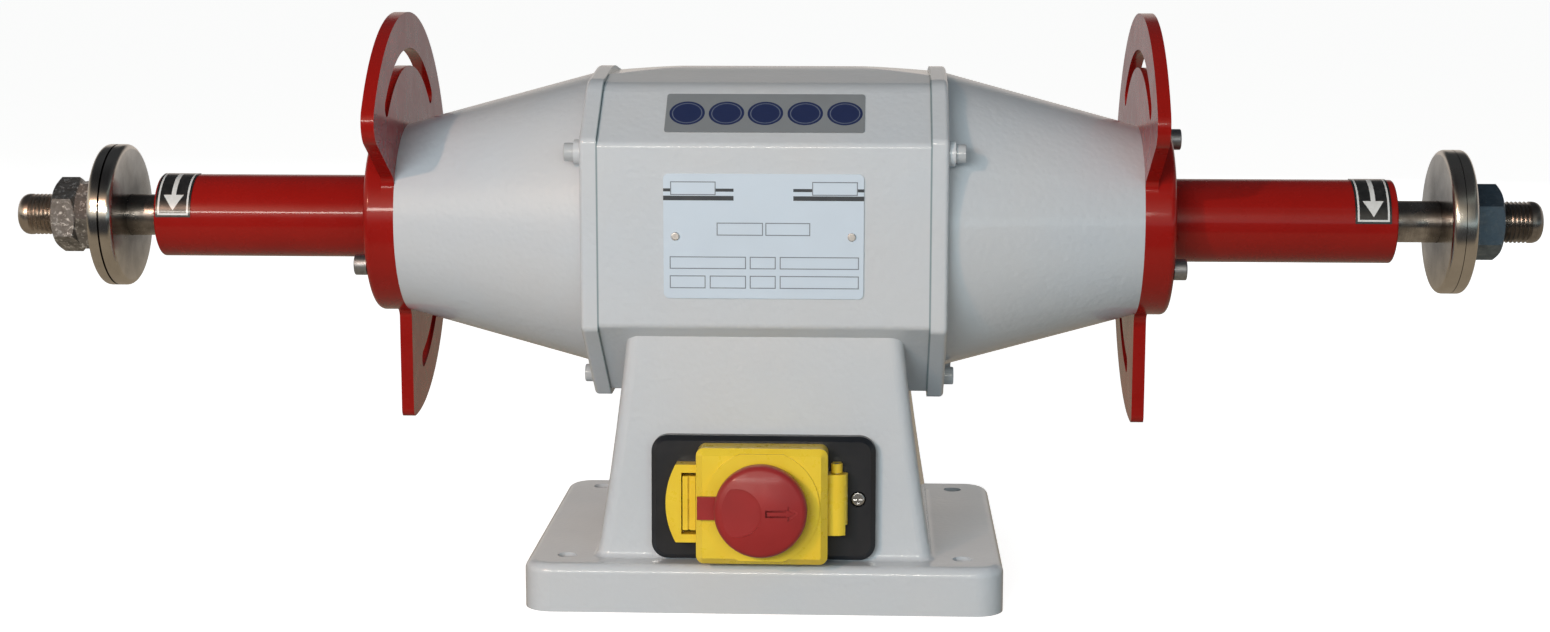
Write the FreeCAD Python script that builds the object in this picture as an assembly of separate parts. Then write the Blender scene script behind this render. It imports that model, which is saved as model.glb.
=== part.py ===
import FreeCAD, Part
import math
import os

# Double-ended bench polishing lathe. Millimetres, +Z up, +X to the right along
# the spindle, -Y to the front (switch side). The origin is the centre of the
# four base holes, on the underside of the base.

# General
spindle_height = 173.0       # spindle axis above the underside of the base
cut_over = 1.0               # how far every cut runs past the face that it opens
screw_gap = 0.05             # radial gap between a screw and its threaded hole
bolt_gap = 0.3               # radial gap between a screw and its clearance hole
seat_gap = 0.02              # radial gap of pressed and bonded seats
spin_gap = 0.06              # radial gap where a part turns or slides on another
plug_gap = 0.3               # gap around parts that sit in a pocket or window
screw_tap_past = 3.0         # tapped depth past the end of a cap screw
screw_head_round = 0.7       # rounded rim of a cap screw's head

# Motor housing
housing_half = 75.7          # half length between the two end joints
housing_depth = 78.0         # half depth, axis to the flat front face
housing_face_top = 42.0      # upper edge of the flat face above the axis
housing_face_low = 41.5      # lower edge of the flat face below the axis
housing_slope = 37.0         # degrees, sloping faces above and below the flat
roof_set_back = 33.0         # edge of the roof, behind the flat front face
housing_crest = 74.7         # roof above the axis at mid-length
housing_crest_end = 70.5     # roof above the axis at the end joints
housing_bottom = 80.0        # flat underside below the axis
housing_edge_r = 3.5         # rounding of the flat face's long edges
housing_shoulder_r = 22.0    # soft rounding of the shoulder
housing_roof_r = 80.0        # soft rounding along the crest
housing_keel_r = 6.0         # rounding at the underside
housing_wall = 12.0          # between the flat face and the bore
wire_hole_r = 9.0            # passage for the motor leads, housing and pedestal

# End bells
bell_flange_t = 8.0          # thickness of the bolted rim
bell_proud = 1.8             # rim stands this much outside the housing slopes
bell_crest = 74.2            # rim above the axis
bell_bottom = 83.0           # rim below the axis
bell_edge_r = 2.0            # rounding of the rim's outer edge
bell_cone_set_back = 7.5     # cone at the rim, inside the housing's flat face
bell_nose_r = 45.5           # cone at the nose
bell_cone_len = 92.0         # rim face to nose face
bell_wall = 6.5              # cone wall
bell_spigot_len = 4.0        # locating spigot in the housing bore
bell_spigot_t = 5.0          # its wall
bell_nose_t = 20.7           # solid nose that carries the bearing
bell_lip_t = 5.7             # shoulder in front of the bearing
bell_lip_r = 17.0            # opening of the shoulder around the spindle

# Screws between bell and housing
bell_screw_r = 2.5
bell_screw_len = 30.0
bell_screw_head_r = 4.25
bell_screw_head_t = 4.8
bell_screw_socket_af = 4.0
bell_screw_socket_t = 2.5
bell_screw_set_back = 9.0    # upper pair, behind the housing's flat face
bell_screw_top_z = 37.5      # upper pair above the axis
bell_screw_low_y = 22.0      # lower pair
bell_screw_low_z = 73.0      # lower pair below the axis
bell_boss_r = 5.8
bell_boss_t = 3.0

# Bearings, 25 x 52 x 15
bearing_bore_r = 12.5
bearing_outer_r = 26.0
bearing_width = 15.0
bearing_ring_t = 4.0         # thickness of each ring
bearing_ball_r = 3.8
bearing_ball_count = 9
bearing_race_gap = 0.3       # ball to race groove

# Stator and rotor
stator_half = 40.0
stator_ring_t = 29.9         # outside to bore
stator_tooth_tip = 1.6
stator_slot_count = 24
stator_slot_w = 5.0
stator_yoke_t = 12.0         # behind the slots
stator_hold_gap = 0.03       # stator in its bore
winding_gap = 0.3            # insulation around the copper
winding_reach = 21.0         # end turns beyond the stack
winding_set_in = 9.0         # end turns inside the housing's bore
winding_edge_r = 5.0
rotor_air_gap = 0.5
rotor_ring_t = 9.0           # end rings of the rotor cage
rotor_ring_step = 1.6        # end ring inside the rotor's outside
rotor_ring_w = 12.0

# Spindle
spindle_half = 369.0         # half length
spindle_core_r = 17.0        # under the rotor
spindle_collar_r = 15.5      # between rotor and bearing
spindle_end_r = 10.0         # through the tubes and outside
spindle_end_round = 4.5
thread_pitch = 2.0
thread_depth = 1.2
thread_len = 42.0
clip_t = 1.2                 # retaining rings outside the bearings
clip_groove_t = 1.3
clip_groove_r = 11.9
clip_outer_r = 15.0
clip_mouth = 5.0

# Guard plates
plate_t = 6.0
plate_r = 99.0
plate_front_y = 6.0          # straight front edge of the lower lobe, ahead of the axis
plate_cut_angle = 152.0      # degrees, straight edge of the upper lobe
plate_tip_r = 11.0
plate_foot_r = 4.0
plate_neck_r = 5.0
plate_slot_r = 77.5
plate_slot_w = 8.5
plate_slot_top_from = 46.0   # degrees
plate_slot_top_to = 133.5
plate_slot_low_from = -73.5
plate_slot_low_to = 14.0

# Spindle tubes
tube_r = 20.0
tube_bore_r = 16.0
tube_set_in = 71.3           # tube's outer end, from the spindle's end
tube_end_round = 1.0
tube_flange_t = 8.95
tube_flange_round = 3.0

# Screws that hold tube, plate and bell together
tube_screw_r = 3.0
tube_screw_len = 25.0
tube_screw_head_r = 5.0
tube_screw_head_t = 6.0
tube_screw_socket_af = 5.0
tube_screw_socket_t = 3.0
tube_screw_set_in = 6.5      # screw centres, inside the rim of the nose
tube_screw_count = 3
tube_screw_angle = 90.0      # degrees, first screw

# Dust seals in the tube ends, 20 x 32 x 7
seal_width = 7.0
seal_recess = 1.0
seal_lip_t = 1.6
seal_lip_w = 2.5
seal_case_t = 3.0

# Wheel flanges and nuts
flange_r = 34.5
flange_t = 6.1
flange_bevel = 0.9
flange_left_set_in = 55.0    # inner face of the left pair, from the spindle's end
flange_right_set_in = 49.2   # inner face of the right pair
nut_flats = 31.8             # across flats
nut_bevel = 30.0             # degrees, corner chamfer
nut_left_t = 11.7            # each of the two thin nuts
nut_right_t = 16.5
nut_turn = 30.0              # degrees, for a nut that stands on a corner
nut_thread_r = 10.05

# Labels
label_t = 0.4                # self-adhesive labels
plate_label_half = 45.4      # nameplate half width
plate_label_low = 28.0
plate_label_top = 28.8
plate_label_t = 0.8
plate_label_r = 2.5
rivet_x = 40.0
rivet_z = 0.3
rivet_r = 1.2
rivet_head_r = 1.9
rivet_head_t = 0.9
rivet_len = 6.0
strip_half = 45.5
strip_start = 8.0            # up the slope from the flat face's edge
strip_height = 26.5
strip_r = 1.5
arrow_inset_left = 1.1       # from the tube end
arrow_inset_right = 3.5
arrow_width = 17.0
arrow_from = 85.0            # degrees around the tube, from the top front
arrow_to = 177.0

# Pedestal and base
base_ledge_x = 32.8          # base beyond the foot of the column, at each end
base_ledge_y = 14.5          # and at front and back
base_t = 22.4
base_corner_r = 13.0
base_edge_r = 4.5
base_rim = 8.0               # rim around the hollow underside
base_top_t = 8.0             # top wall of the base
base_hole_in_x = 18.8        # hole centres, from the edges of the base
base_hole_in_y = 18.0
base_hole_r = 4.5
base_pad_r = 12.0            # pad under each base hole
pedestal_set_back = 7.3      # front face at the top, behind the housing's flat face
pedestal_batter = 4.3        # front face leans forward by this much down to the base
pedestal_top_drop = 47.0     # below the axis
pedestal_top_in = 12.0       # half width at the top, less than the housing's half length
pedestal_mid_out = 4.6       # half width at mid-height, more than at the top
pedestal_mid_drop = 86.0     # below the axis
pedestal_foot_out = 14.3     # half width at the foot, more than at the top
pedestal_corner_r = 6.0
pedestal_foot_r = 3.0
pedestal_wall = 7.0

# Bolts that hold the housing on the pedestal
mount_bolt_r = 4.0
mount_bolt_head_r = 6.5
mount_bolt_head_t = 8.0
mount_bolt_x = 45.0
mount_bolt_y = 12.0
mount_bolt_reach = 11.0      # into the housing
mount_bolt_tap = 2.0         # tapped depth past the bolt's end

# Bottom cover
cover_z = 3.0                # underside of the cover above the resting plane
cover_t = 2.0
cover_gap = 0.5
cover_boss_r = 5.0
cover_screw_r = 2.0
cover_screw_head_r = 3.5
cover_screw_head_t = 1.6
cover_screw_len = 10.0
cover_screw_in_x = 55.8      # screw centres, from the edges of the base
cover_screw_in_y = 19.5

# Cable gland at the back
gland_z = 62.0
gland_x = 0.0
gland_spot_r = 13.0
gland_thread_r = 8.0
gland_bore_r = 4.5
gland_hex_af = 22.0
gland_hex_t = 6.0
gland_dome_r = 9.5
gland_dome_len = 12.0
gland_nut_t = 5.0
gland_tail = 3.0

# Capacitor and terminal block
capacitor_r = 17.5
capacitor_len = 72.0
capacitor_y = 20.0
capacitor_cap_r = 3.0
clip_band_t = 1.2
clip_band_w = 14.0
clip_foot_len = 12.0
terminal_len = 46.0
terminal_w = 16.0
terminal_h = 12.0
terminal_well_r = 2.2
terminal_ways = 4
terminal_y = -30.0

# Switch: faceplate and contact block, in the plane of the pedestal's front
switch_drop = 120.8          # faceplate centre below the axis
switch_half_x = 51.65
switch_half_z = 28.75
switch_t = 7.0
switch_corner_r = 7.5
switch_edge_r = 2.2
switch_window_x = 34.0       # half width of the window in the wall
switch_window_z = 22.0
switch_body_depth = 34.0
switch_body_wall = 2.5
switch_screw_right_x = 43.6
switch_screw_left_x = 40.0
switch_screw_r = 1.75
switch_screw_len = 16.0
switch_screw_head_r = 3.4
switch_screw_head_t = 1.9
switch_screw_floor = 4.8     # seat of the head above the wall
switch_tab_count = 4
switch_tab_w = 4.8
switch_tab_t = 0.8
switch_tab_len = 9.0
switch_screw_cross_w = 1.0
switch_screw_cross_t = 1.1

# Start and stop buttons
button_proud = 5.0           # above the faceplate
button_travel = 3.0
button_half_z = 13.0
button_r = 3.0
button_gap = 0.4             # around the button in its opening
start_from = -24.5           # left edge of the start button
start_to = -10.0
stop_from = -6.5
stop_to = 20.5
button_chamber = 9.0         # depth of the contact block's chamber
button_face_r = 1.2
button_flange = 1.5          # retaining rim
button_spring_r = 4.5
button_spring_t = 1.2

# Lid
lid_half_x = 29.9
lid_half_z = 26.6
lid_drop = 1.0               # lid centre below the faceplate centre
lid_depth = 17.0
lid_gap = 0.3                # to the faceplate
lid_wall = 2.4
lid_bevel = 3.0
lid_boss_r = 26.4
lid_boss_cut = 24.5
lid_boss_t = 1.0
lid_corner_r = 3.6
hinge_block_w = 9.0
hinge_block_half = 14.0
hinge_pin_r = 1.3
hinge_barrel_r = 5.0
hinge_ear_r = 2.6
hinge_web = 4.0
hinge_barrel_len = 4.2
hinge_ear_gap = 0.4
loop_reach = 14.3            # latch loop beyond the lid
loop_half = 18.0
loop_shoulder_share = 0.68   # straight part of the loop's upper edge
loop_t = 9.0
slot_from = 7.2              # finger slot, from the loop's outer edge
slot_width = 7.0
slot_half = 14.25
lug_w = 6.0                  # lug of the faceplate inside the slot
lug_groove = 1.2
lug_half = 12.5
lug_gap = 0.9                # lug below the loop's face

# Mushroom and release slide
mushroom_r = 21.0
mushroom_t = 6.4
mushroom_edge_r = 3.2
mushroom_wall = 2.6
mushroom_dome = 3.5          # crown of the face
mushroom_catch = 0.9         # snap rim on the stem
mushroom_travel = 4.0
mushroom_stem_r = 4.5
mushroom_thumb_r = 11.0
mushroom_thumb_x = 10.2
mushroom_thumb_dish = 0.6
mushroom_arrow_len = 13.5
mushroom_arrow_w = 1.1
mushroom_arrow_x = 3.0
mushroom_arrow_head = 4.6
mushroom_arrow_t = 0.5
release_t = 2.0
release_half = 5.25
release_reach = 29.0         # left end of the tab from the centre
release_back = 9.0           # right end
release_travel = 3.0
release_gap = 0.3
release_neck_r = 6.2
release_rim_r = 7.4
release_rim_t = 1.2
mushroom_spring_r = 8.5
mushroom_spring_t = 1.2

# Places and sizes that follow from the ones above
housing_bore_r = housing_depth - housing_wall
housing_shoulder = housing_depth - roof_set_back
bell_cone_r = housing_depth - bell_cone_set_back
bell_screw_top_y = housing_depth - bell_screw_set_back
stator_inner_r = housing_bore_r - stator_ring_t
stator_slot_top_r = housing_bore_r - stator_yoke_t
winding_outer_r = housing_bore_r - winding_set_in
rotor_outer_r = stator_inner_r - rotor_air_gap
rotor_ring_outer_r = rotor_outer_r - rotor_ring_step
rotor_ring_inner_r = rotor_ring_outer_r - rotor_ring_w
tube_end = spindle_half - tube_set_in
tube_screw_circle_r = bell_nose_r - tube_screw_set_in
flange_left_x = spindle_half - flange_left_set_in
flange_right_x = spindle_half - flange_right_set_in
pedestal_top_front = housing_depth - pedestal_set_back
pedestal_foot_front = pedestal_top_front + pedestal_batter
pedestal_top_half = housing_half - pedestal_top_in
pedestal_mid_half = pedestal_top_half + pedestal_mid_out
pedestal_foot_half = pedestal_top_half + pedestal_foot_out
base_half_x = pedestal_foot_half + base_ledge_x
base_half_y = pedestal_foot_front + base_ledge_y
base_hole_x = base_half_x - base_hole_in_x
base_hole_y = base_half_y - base_hole_in_y
cover_screw_x = base_half_x - cover_screw_in_x
cover_screw_y = base_half_y - cover_screw_in_y


def point_yz(x, y, height):
    """Point at x, with y and the height above the spindle axis."""
    return FreeCAD.Vector(x, y, spindle_height + height)


def polar_yz(x, radius, angle):
    """Point around the spindle axis, angle from +Y towards +Z."""
    turn = math.radians(angle)
    return point_yz(x, radius * math.cos(turn), radius * math.sin(turn))


def box(x0, x1, y0, y1, z0, z1):
    corner = FreeCAD.Vector(x0, y0, z0)
    return Part.makeBox(x1 - x0, y1 - y0, z1 - z0, corner)


def rod(radius, start, end):
    """Round bar from one point to another."""
    run = end - start
    return Part.makeCylinder(radius, run.Length, start, run)


def rod_x(radius, x0, x1, y=0.0, height=0.0):
    return rod(radius, point_yz(x0, y, height), point_yz(x1, y, height))


def tube_x(outer, inner, x0, x1):
    side = math.copysign(cut_over, x1 - x0)
    return rod_x(outer, x0, x1).cut(rod_x(inner, x0 - side, x1 + side))


def rounded_face(points, radii):
    """Flat face through the points, each corner rounded by its own radius."""
    count = len(points)
    starts = []
    ends = []
    middles = []
    for i in range(count):
        corner = points[i]
        back = (points[i - 1] - corner).normalize()
        ahead = (points[(i + 1) % count] - corner).normalize()
        half = back.getAngle(ahead) / 2
        reach = radii[i] / math.tan(half)
        inward = (back + ahead).normalize()
        starts.append(corner + back * reach)
        ends.append(corner + ahead * reach)
        middles.append(corner + inward * (radii[i] / math.sin(half) - radii[i]))
    edges = []
    for i in range(count):
        if radii[i] > 0:
            edges.append(Part.Arc(starts[i], middles[i], ends[i]).toShape())
        following = starts[(i + 1) % count]
        if (following - ends[i]).Length > seat_gap / 100:
            edges.append(Part.LineSegment(ends[i], following).toShape())
    return Part.Face(Part.Wire(edges))


def rounded_prism(points, radii, run):
    return rounded_face(points, radii).extrude(run)


def rounded_block(half_x, half_z, x_mid, z_mid, y0, y1, radius):
    """Block with rounded vertical-plane corners, extruded along Y."""
    points = [
        FreeCAD.Vector(x_mid - half_x, y0, z_mid - half_z),
        FreeCAD.Vector(x_mid + half_x, y0, z_mid - half_z),
        FreeCAD.Vector(x_mid + half_x, y0, z_mid + half_z),
        FreeCAD.Vector(x_mid - half_x, y0, z_mid + half_z),
    ]
    return rounded_prism(points, [radius] * len(points), FreeCAD.Vector(0, y1 - y0, 0))


def turned(profile):
    """Solid of revolution about the spindle axis from (x, radius) points."""
    points = [point_yz(x, 0, radius) for x, radius in profile]
    face = Part.Face(Part.makePolygon(points + [points[0]]))
    return face.revolve(point_yz(0, 0, 0), FreeCAD.Vector(1, 0, 0), 360)


def hexagon_x(flats, x0, x1, turn=0.0):
    """Hexagonal bar along the spindle axis."""
    corner_r = flats / math.sqrt(3)
    corners = [polar_yz(x0, corner_r, turn + 60 * i) for i in range(6)]
    face = Part.Face(Part.makePolygon(corners + [corners[0]]))
    return face.extrude(FreeCAD.Vector(x1 - x0, 0, 0))


def on_side(shape, side):
    """The right-hand shape itself, or its mirror image on the left."""
    if side > 0:
        return shape
    return shape.mirror(FreeCAD.Vector(0, 0, 0), FreeCAD.Vector(1, 0, 0))


def fused(shapes):
    first = shapes[0]
    rest = shapes[1:]
    return first.multiFuse(rest).removeSplitter() if rest else first


def edges_where(shape, wanted):
    """Edges whose middle point passes the given test."""
    chosen = []
    for edge in shape.Edges:
        middle = edge.valueAt((edge.FirstParameter + edge.LastParameter) / 2)
        if wanted(middle, edge):
            chosen.append(edge)
    return chosen


# Motor housing

def housing_section(x, depth, face_top, face_low, crest, bottom):
    """Corner points of the eight-sided housing section with its low roof."""
    slope = math.tan(math.radians(housing_slope))
    shoulder_z = face_top + (depth - housing_shoulder) * slope
    keel_y = depth - (bottom - face_low) / slope
    return [
        point_yz(x, -depth, -face_low),
        point_yz(x, -keel_y, -bottom),
        point_yz(x, keel_y, -bottom),
        point_yz(x, depth, -face_low),
        point_yz(x, depth, face_top),
        point_yz(x, housing_shoulder, shoulder_z),
        point_yz(x, 0, crest),
        point_yz(x, -housing_shoulder, shoulder_z),
        point_yz(x, -depth, face_top),
    ]


def section_radii():
    return [
        housing_edge_r,
        housing_keel_r,
        housing_keel_r,
        housing_edge_r,
        housing_edge_r,
        housing_shoulder_r,
        housing_roof_r,
        housing_shoulder_r,
        housing_edge_r,
    ]


def housing_block():
    """Outer form of the housing: the section, crowned lengthwise."""
    section = housing_section(
        -housing_half, housing_depth, housing_face_top, housing_face_low,
        housing_crest, housing_bottom)
    run = FreeCAD.Vector(2 * housing_half, 0, 0)
    block = rounded_prism(section, section_radii(), run)
    deep = housing_depth + cut_over
    left_top = point_yz(-housing_half, -deep, housing_crest_end)
    crest = point_yz(0, -deep, housing_crest)
    right_top = point_yz(housing_half, -deep, housing_crest_end)
    right_low = point_yz(housing_half, -deep, -housing_bottom - cut_over)
    left_low = point_yz(-housing_half, -deep, -housing_bottom - cut_over)
    outline = Part.Wire([
        Part.Arc(left_top, crest, right_top).toShape(),
        Part.LineSegment(right_top, right_low).toShape(),
        Part.LineSegment(right_low, left_low).toShape(),
        Part.LineSegment(left_low, left_top).toShape(),
    ])
    crown = Part.Face(outline).extrude(FreeCAD.Vector(0, 2 * deep, 0))
    return block.common(crown)


def bell_screw_places():
    """The four screws of an end bell, as (y, height above the axis)."""
    return [
        (-bell_screw_top_y, bell_screw_top_z),
        (bell_screw_top_y, bell_screw_top_z),
        (-bell_screw_low_y, -bell_screw_low_z),
        (bell_screw_low_y, -bell_screw_low_z),
    ]


def bell_screw_seat(height):
    """Plane under the screw head: on the boss above, on the rim below."""
    boss = bell_boss_t if height > 0 else 0
    return housing_half + bell_flange_t + boss


def mount_bolt_places():
    return [(mount_bolt_x * i, mount_bolt_y * j) for i in (-1, 1) for j in (-1, 1)]


def motor_housing():
    shape = housing_block()
    shape = shape.cut(rod_x(housing_bore_r, -housing_half - cut_over, housing_half + cut_over))
    for y, height in bell_screw_places():
        tip = bell_screw_seat(height) - bell_screw_len - screw_tap_past
        hole = rod_x(bell_screw_r + screw_gap, tip, housing_half + cut_over, y, height)
        shape = shape.cut(hole)
        shape = shape.cut(on_side(hole, -1))
    for x, y in mount_bolt_places():
        start = point_yz(x, y, -housing_bottom - cut_over)
        end = point_yz(x, y, -housing_bottom + mount_bolt_reach + mount_bolt_tap)
        shape = shape.cut(rod(mount_bolt_r + screw_gap, start, end))
    shape = shape.cut(rod(wire_hole_r, point_yz(0, 0, -housing_bottom - cut_over), point_yz(0, 0, 0)))
    for x in (-rivet_x, rivet_x):
        shape = shape.cut(rivet_shank(x, screw_gap))
    return shape


# End bells

def end_bell(side):
    x_rim = housing_half
    x_face = x_rim + bell_flange_t
    x_nose = x_face + bell_cone_len
    section = housing_section(
        x_rim, housing_depth, housing_face_top + bell_proud, housing_face_low + bell_proud,
        bell_crest, bell_bottom)
    rim = rounded_prism(section, section_radii(), FreeCAD.Vector(bell_flange_t, 0, 0))
    outer_edges = edges_where(rim, lambda m, e: abs(m.x - x_face) < seat_gap)
    rim = rim.makeFillet(bell_edge_r, outer_edges)
    cone = Part.makeCone(
        bell_cone_r, bell_nose_r, bell_cone_len, point_yz(x_face, 0, 0), FreeCAD.Vector(1, 0, 0))
    spigot_r = housing_bore_r - spin_gap
    spigot = rod_x(spigot_r, x_rim - bell_spigot_len, x_rim)
    parts = [rim, cone, spigot]
    for y, height in bell_screw_places()[:2]:
        parts.append(rod_x(bell_boss_r, x_face - bell_edge_r, x_face + bell_boss_t, y, height))
    shape = fused(parts)
    taper = (bell_cone_r - bell_nose_r) / bell_cone_len
    x_hollow = x_nose - bell_nose_t
    hollow_r = bell_nose_r + taper * bell_nose_t - bell_wall
    mouth_r = spigot_r - bell_spigot_t
    x_lip = x_nose - bell_lip_t
    bearing_r = bearing_outer_r + seat_gap
    cavity = turned([
        (x_rim - bell_spigot_len - cut_over, 0),
        (x_rim - bell_spigot_len - cut_over, mouth_r),
        (x_face, mouth_r),
        (x_hollow, hollow_r),
        (x_hollow, bearing_r),
        (x_lip, bearing_r),
        (x_lip, bell_lip_r),
        (x_nose + cut_over, bell_lip_r),
        (x_nose + cut_over, 0),
    ])
    shape = shape.cut(cavity)
    for y, height in bell_screw_places():
        hole = rod_x(bell_screw_r + bolt_gap, x_rim - cut_over, x_nose, y, height)
        shape = shape.cut(hole)
    tap_from = tube_screw_seat() - tube_screw_len - screw_tap_past
    for angle in tube_screw_angles():
        hole = tube_screw_hole(tube_screw_r + screw_gap, tap_from, x_nose + cut_over, angle)
        shape = shape.cut(hole)
    return on_side(shape, side)


def socket_screw(shank_r, length, head_r, head_t, edge_r, socket_af, socket_t, seat, y, height):
    """Cap screw along +X: head outside the seat plane, shank inwards."""
    head = rod_x(head_r, seat, seat + head_t, y, height)
    rim = edges_where(head, lambda m, e: abs(m.x - seat - head_t) < seat_gap)
    head = head.makeFillet(edge_r, rim)
    shank = rod_x(shank_r, seat - length, seat, y, height)
    socket = hexagon_x(socket_af, seat + head_t - socket_t, seat + head_t + cut_over)
    socket.translate(FreeCAD.Vector(0, y, height))
    return head.fuse(shank).cut(socket)


def end_bell_screws(side):
    screws = []
    for y, height in bell_screw_places():
        screw = socket_screw(
            bell_screw_r, bell_screw_len, bell_screw_head_r, bell_screw_head_t,
            screw_head_round, bell_screw_socket_af, bell_screw_socket_t,
            bell_screw_seat(height), y, height)
        screws.append(on_side(screw, side))
    return Part.makeCompound(screws)


# Guard plates and spindle tubes

def nose_x():
    return housing_half + bell_flange_t + bell_cone_len


def tube_screw_seat():
    return nose_x() + plate_t + tube_flange_t


def tube_screw_angles():
    step = 360 / tube_screw_count
    return [tube_screw_angle + step * i for i in range(tube_screw_count)]


def tube_screw_hole(radius, x0, x1, angle):
    start = polar_yz(x0, tube_screw_circle_r, angle)
    return rod(radius, start, start + FreeCAD.Vector(x1 - x0, 0, 0))


def arc_slot(x0, x1, radius, width, angle_from, angle_to):
    """Round-ended slot along an arc about the spindle axis."""
    half = width / 2
    middle = (angle_from + angle_to) / 2
    bulge = math.degrees(half / radius)
    outer = Part.Arc(
        polar_yz(x0, radius + half, angle_from),
        polar_yz(x0, radius + half, middle),
        polar_yz(x0, radius + half, angle_to)).toShape()
    far_end = Part.Arc(
        polar_yz(x0, radius + half, angle_to),
        polar_yz(x0, radius, angle_to + bulge),
        polar_yz(x0, radius - half, angle_to)).toShape()
    inner = Part.Arc(
        polar_yz(x0, radius - half, angle_to),
        polar_yz(x0, radius - half, middle),
        polar_yz(x0, radius - half, angle_from)).toShape()
    near_end = Part.Arc(
        polar_yz(x0, radius - half, angle_from),
        polar_yz(x0, radius, angle_from - bulge),
        polar_yz(x0, radius + half, angle_from)).toShape()
    face = Part.Face(Part.Wire([outer, far_end, inner, near_end]))
    return face.extrude(FreeCAD.Vector(x1 - x0, 0, 0))


def guard_plate(side):
    """Flat steel plate: hub circle and a large sector, open at the lower front."""
    x0 = nose_x()
    x1 = x0 + plate_t
    wide = 2 * plate_r
    cut = math.radians(plate_cut_angle)
    sector = Part.Face(Part.makePolygon([
        point_yz(x0, -plate_front_y, -wide),
        point_yz(x0, wide, -wide),
        point_yz(x0, wide, wide),
        point_yz(x0, wide * math.cos(cut), wide),
        point_yz(x0, wide * math.cos(cut), wide * math.sin(cut)),
        point_yz(x0, 0, 0),
        point_yz(x0, -plate_front_y, 0),
        point_yz(x0, -plate_front_y, -wide),
    ])).extrude(FreeCAD.Vector(plate_t, 0, 0))
    shape = rod_x(plate_r, x0, x1).common(sector)
    shape = fused([shape, rod_x(bell_nose_r, x0, x1)])
    tip = polar_yz(x0 + plate_t / 2, plate_r, plate_cut_angle)
    neck = polar_yz(x0 + plate_t / 2, bell_nose_r, plate_cut_angle)
    foot_z = math.sqrt(plate_r ** 2 - plate_front_y ** 2)
    foot = point_yz(x0 + plate_t / 2, -plate_front_y, -foot_z)
    heel_z = math.sqrt(bell_nose_r ** 2 - plate_front_y ** 2)
    heel = point_yz(x0 + plate_t / 2, -plate_front_y, -heel_z)
    corners = [(tip, plate_tip_r), (neck, plate_neck_r), (foot, plate_foot_r), (heel, plate_neck_r)]
    for corner, radius in corners:
        near = edges_where(shape, lambda m, e: (m - corner).Length < seat_gap)
        shape = shape.makeFillet(radius, near)
    slots = [(plate_slot_top_from, plate_slot_top_to), (plate_slot_low_from, plate_slot_low_to)]
    for start, end in slots:
        slot = arc_slot(x0 - cut_over, x1 + cut_over, plate_slot_r, plate_slot_w, start, end)
        shape = shape.cut(slot)
    shape = shape.cut(rod_x(bell_lip_r, x0 - cut_over, x1 + cut_over))
    for angle in tube_screw_angles():
        shape = shape.cut(tube_screw_hole(tube_screw_r + bolt_gap, x0 - cut_over, x1 + cut_over, angle))
    return on_side(shape, side)


def spindle_tube(side):
    """Painted steel tube with its bolting flange, one welded piece."""
    x0 = nose_x() + plate_t
    x1 = x0 + tube_flange_t
    flange = rod_x(bell_nose_r, x0, x1)
    rim = edges_where(flange, lambda m, e: abs(m.x - x1) < seat_gap)
    flange = flange.makeFillet(tube_flange_round, rim)
    barrel = rod_x(tube_r, x0, tube_end)
    mouth = edges_where(barrel, lambda m, e: abs(m.x - tube_end) < seat_gap)
    barrel = barrel.makeFillet(tube_end_round, mouth)
    shape = fused([flange, barrel])
    shape = shape.cut(rod_x(tube_bore_r, x0 - cut_over, tube_end + cut_over))
    for angle in tube_screw_angles():
        shape = shape.cut(tube_screw_hole(tube_screw_r + bolt_gap, x0 - cut_over, x1 + cut_over, angle))
    return on_side(shape, side)


def tube_screws(side):
    screws = []
    for angle in tube_screw_angles():
        place = polar_yz(0, tube_screw_circle_r, angle)
        screw = socket_screw(
            tube_screw_r, tube_screw_len, tube_screw_head_r, tube_screw_head_t,
            screw_head_round, tube_screw_socket_af, tube_screw_socket_t,
            tube_screw_seat(), place.y, place.z - spindle_height)
        screws.append(on_side(screw, side))
    return Part.makeCompound(screws)


def dust_seal(side):
    """Rubber ring with a thin lip around the spindle."""
    x1 = tube_end - seal_recess
    x0 = x1 - seal_width
    outer = tube_bore_r - seat_gap
    lip = spindle_end_r + spin_gap
    shape = turned([
        (x0, outer),
        (x1, outer),
        (x1, lip),
        (x1 - seal_lip_w, lip),
        (x1 - seal_lip_w, lip + seal_lip_t),
        (x1 - seal_lip_w / 2 - seal_lip_t, outer - seal_case_t + seal_lip_t),
        (x0, outer - seal_case_t + seal_lip_t),
    ])
    return on_side(shape, side)


# Bearings

def bearing_x():
    """Outer face of the bearing, against the shoulder in the nose."""
    return nose_x() - bell_lip_t


def ball_circle_r():
    return (bearing_bore_r + bearing_outer_r) / 2


def race_groove():
    middle = bearing_x() - bearing_width / 2
    centre = point_yz(middle, 0, 0)
    return Part.makeTorus(
        ball_circle_r(), bearing_ball_r + bearing_race_gap, centre, FreeCAD.Vector(1, 0, 0))


def bearing_outer(side):
    x1 = bearing_x()
    ring = tube_x(bearing_outer_r, bearing_outer_r - bearing_ring_t, x1 - bearing_width, x1)
    return on_side(ring.cut(race_groove()), side)


def bearing_inner(side):
    x1 = bearing_x()
    bore = bearing_bore_r + seat_gap
    ring = tube_x(bearing_bore_r + bearing_ring_t, bore, x1 - bearing_width, x1)
    return on_side(ring.cut(race_groove()), side)


def bearing_balls():
    """The balls of both bearings."""
    middle = bearing_x() - bearing_width / 2
    balls = []
    for i in range(bearing_ball_count):
        place = polar_yz(middle, ball_circle_r(), 360 / bearing_ball_count * i)
        ball = Part.makeSphere(bearing_ball_r, place)
        balls.append(ball)
        balls.append(on_side(ball, -1))
    return Part.makeCompound(balls)


# Stator and rotor

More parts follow.
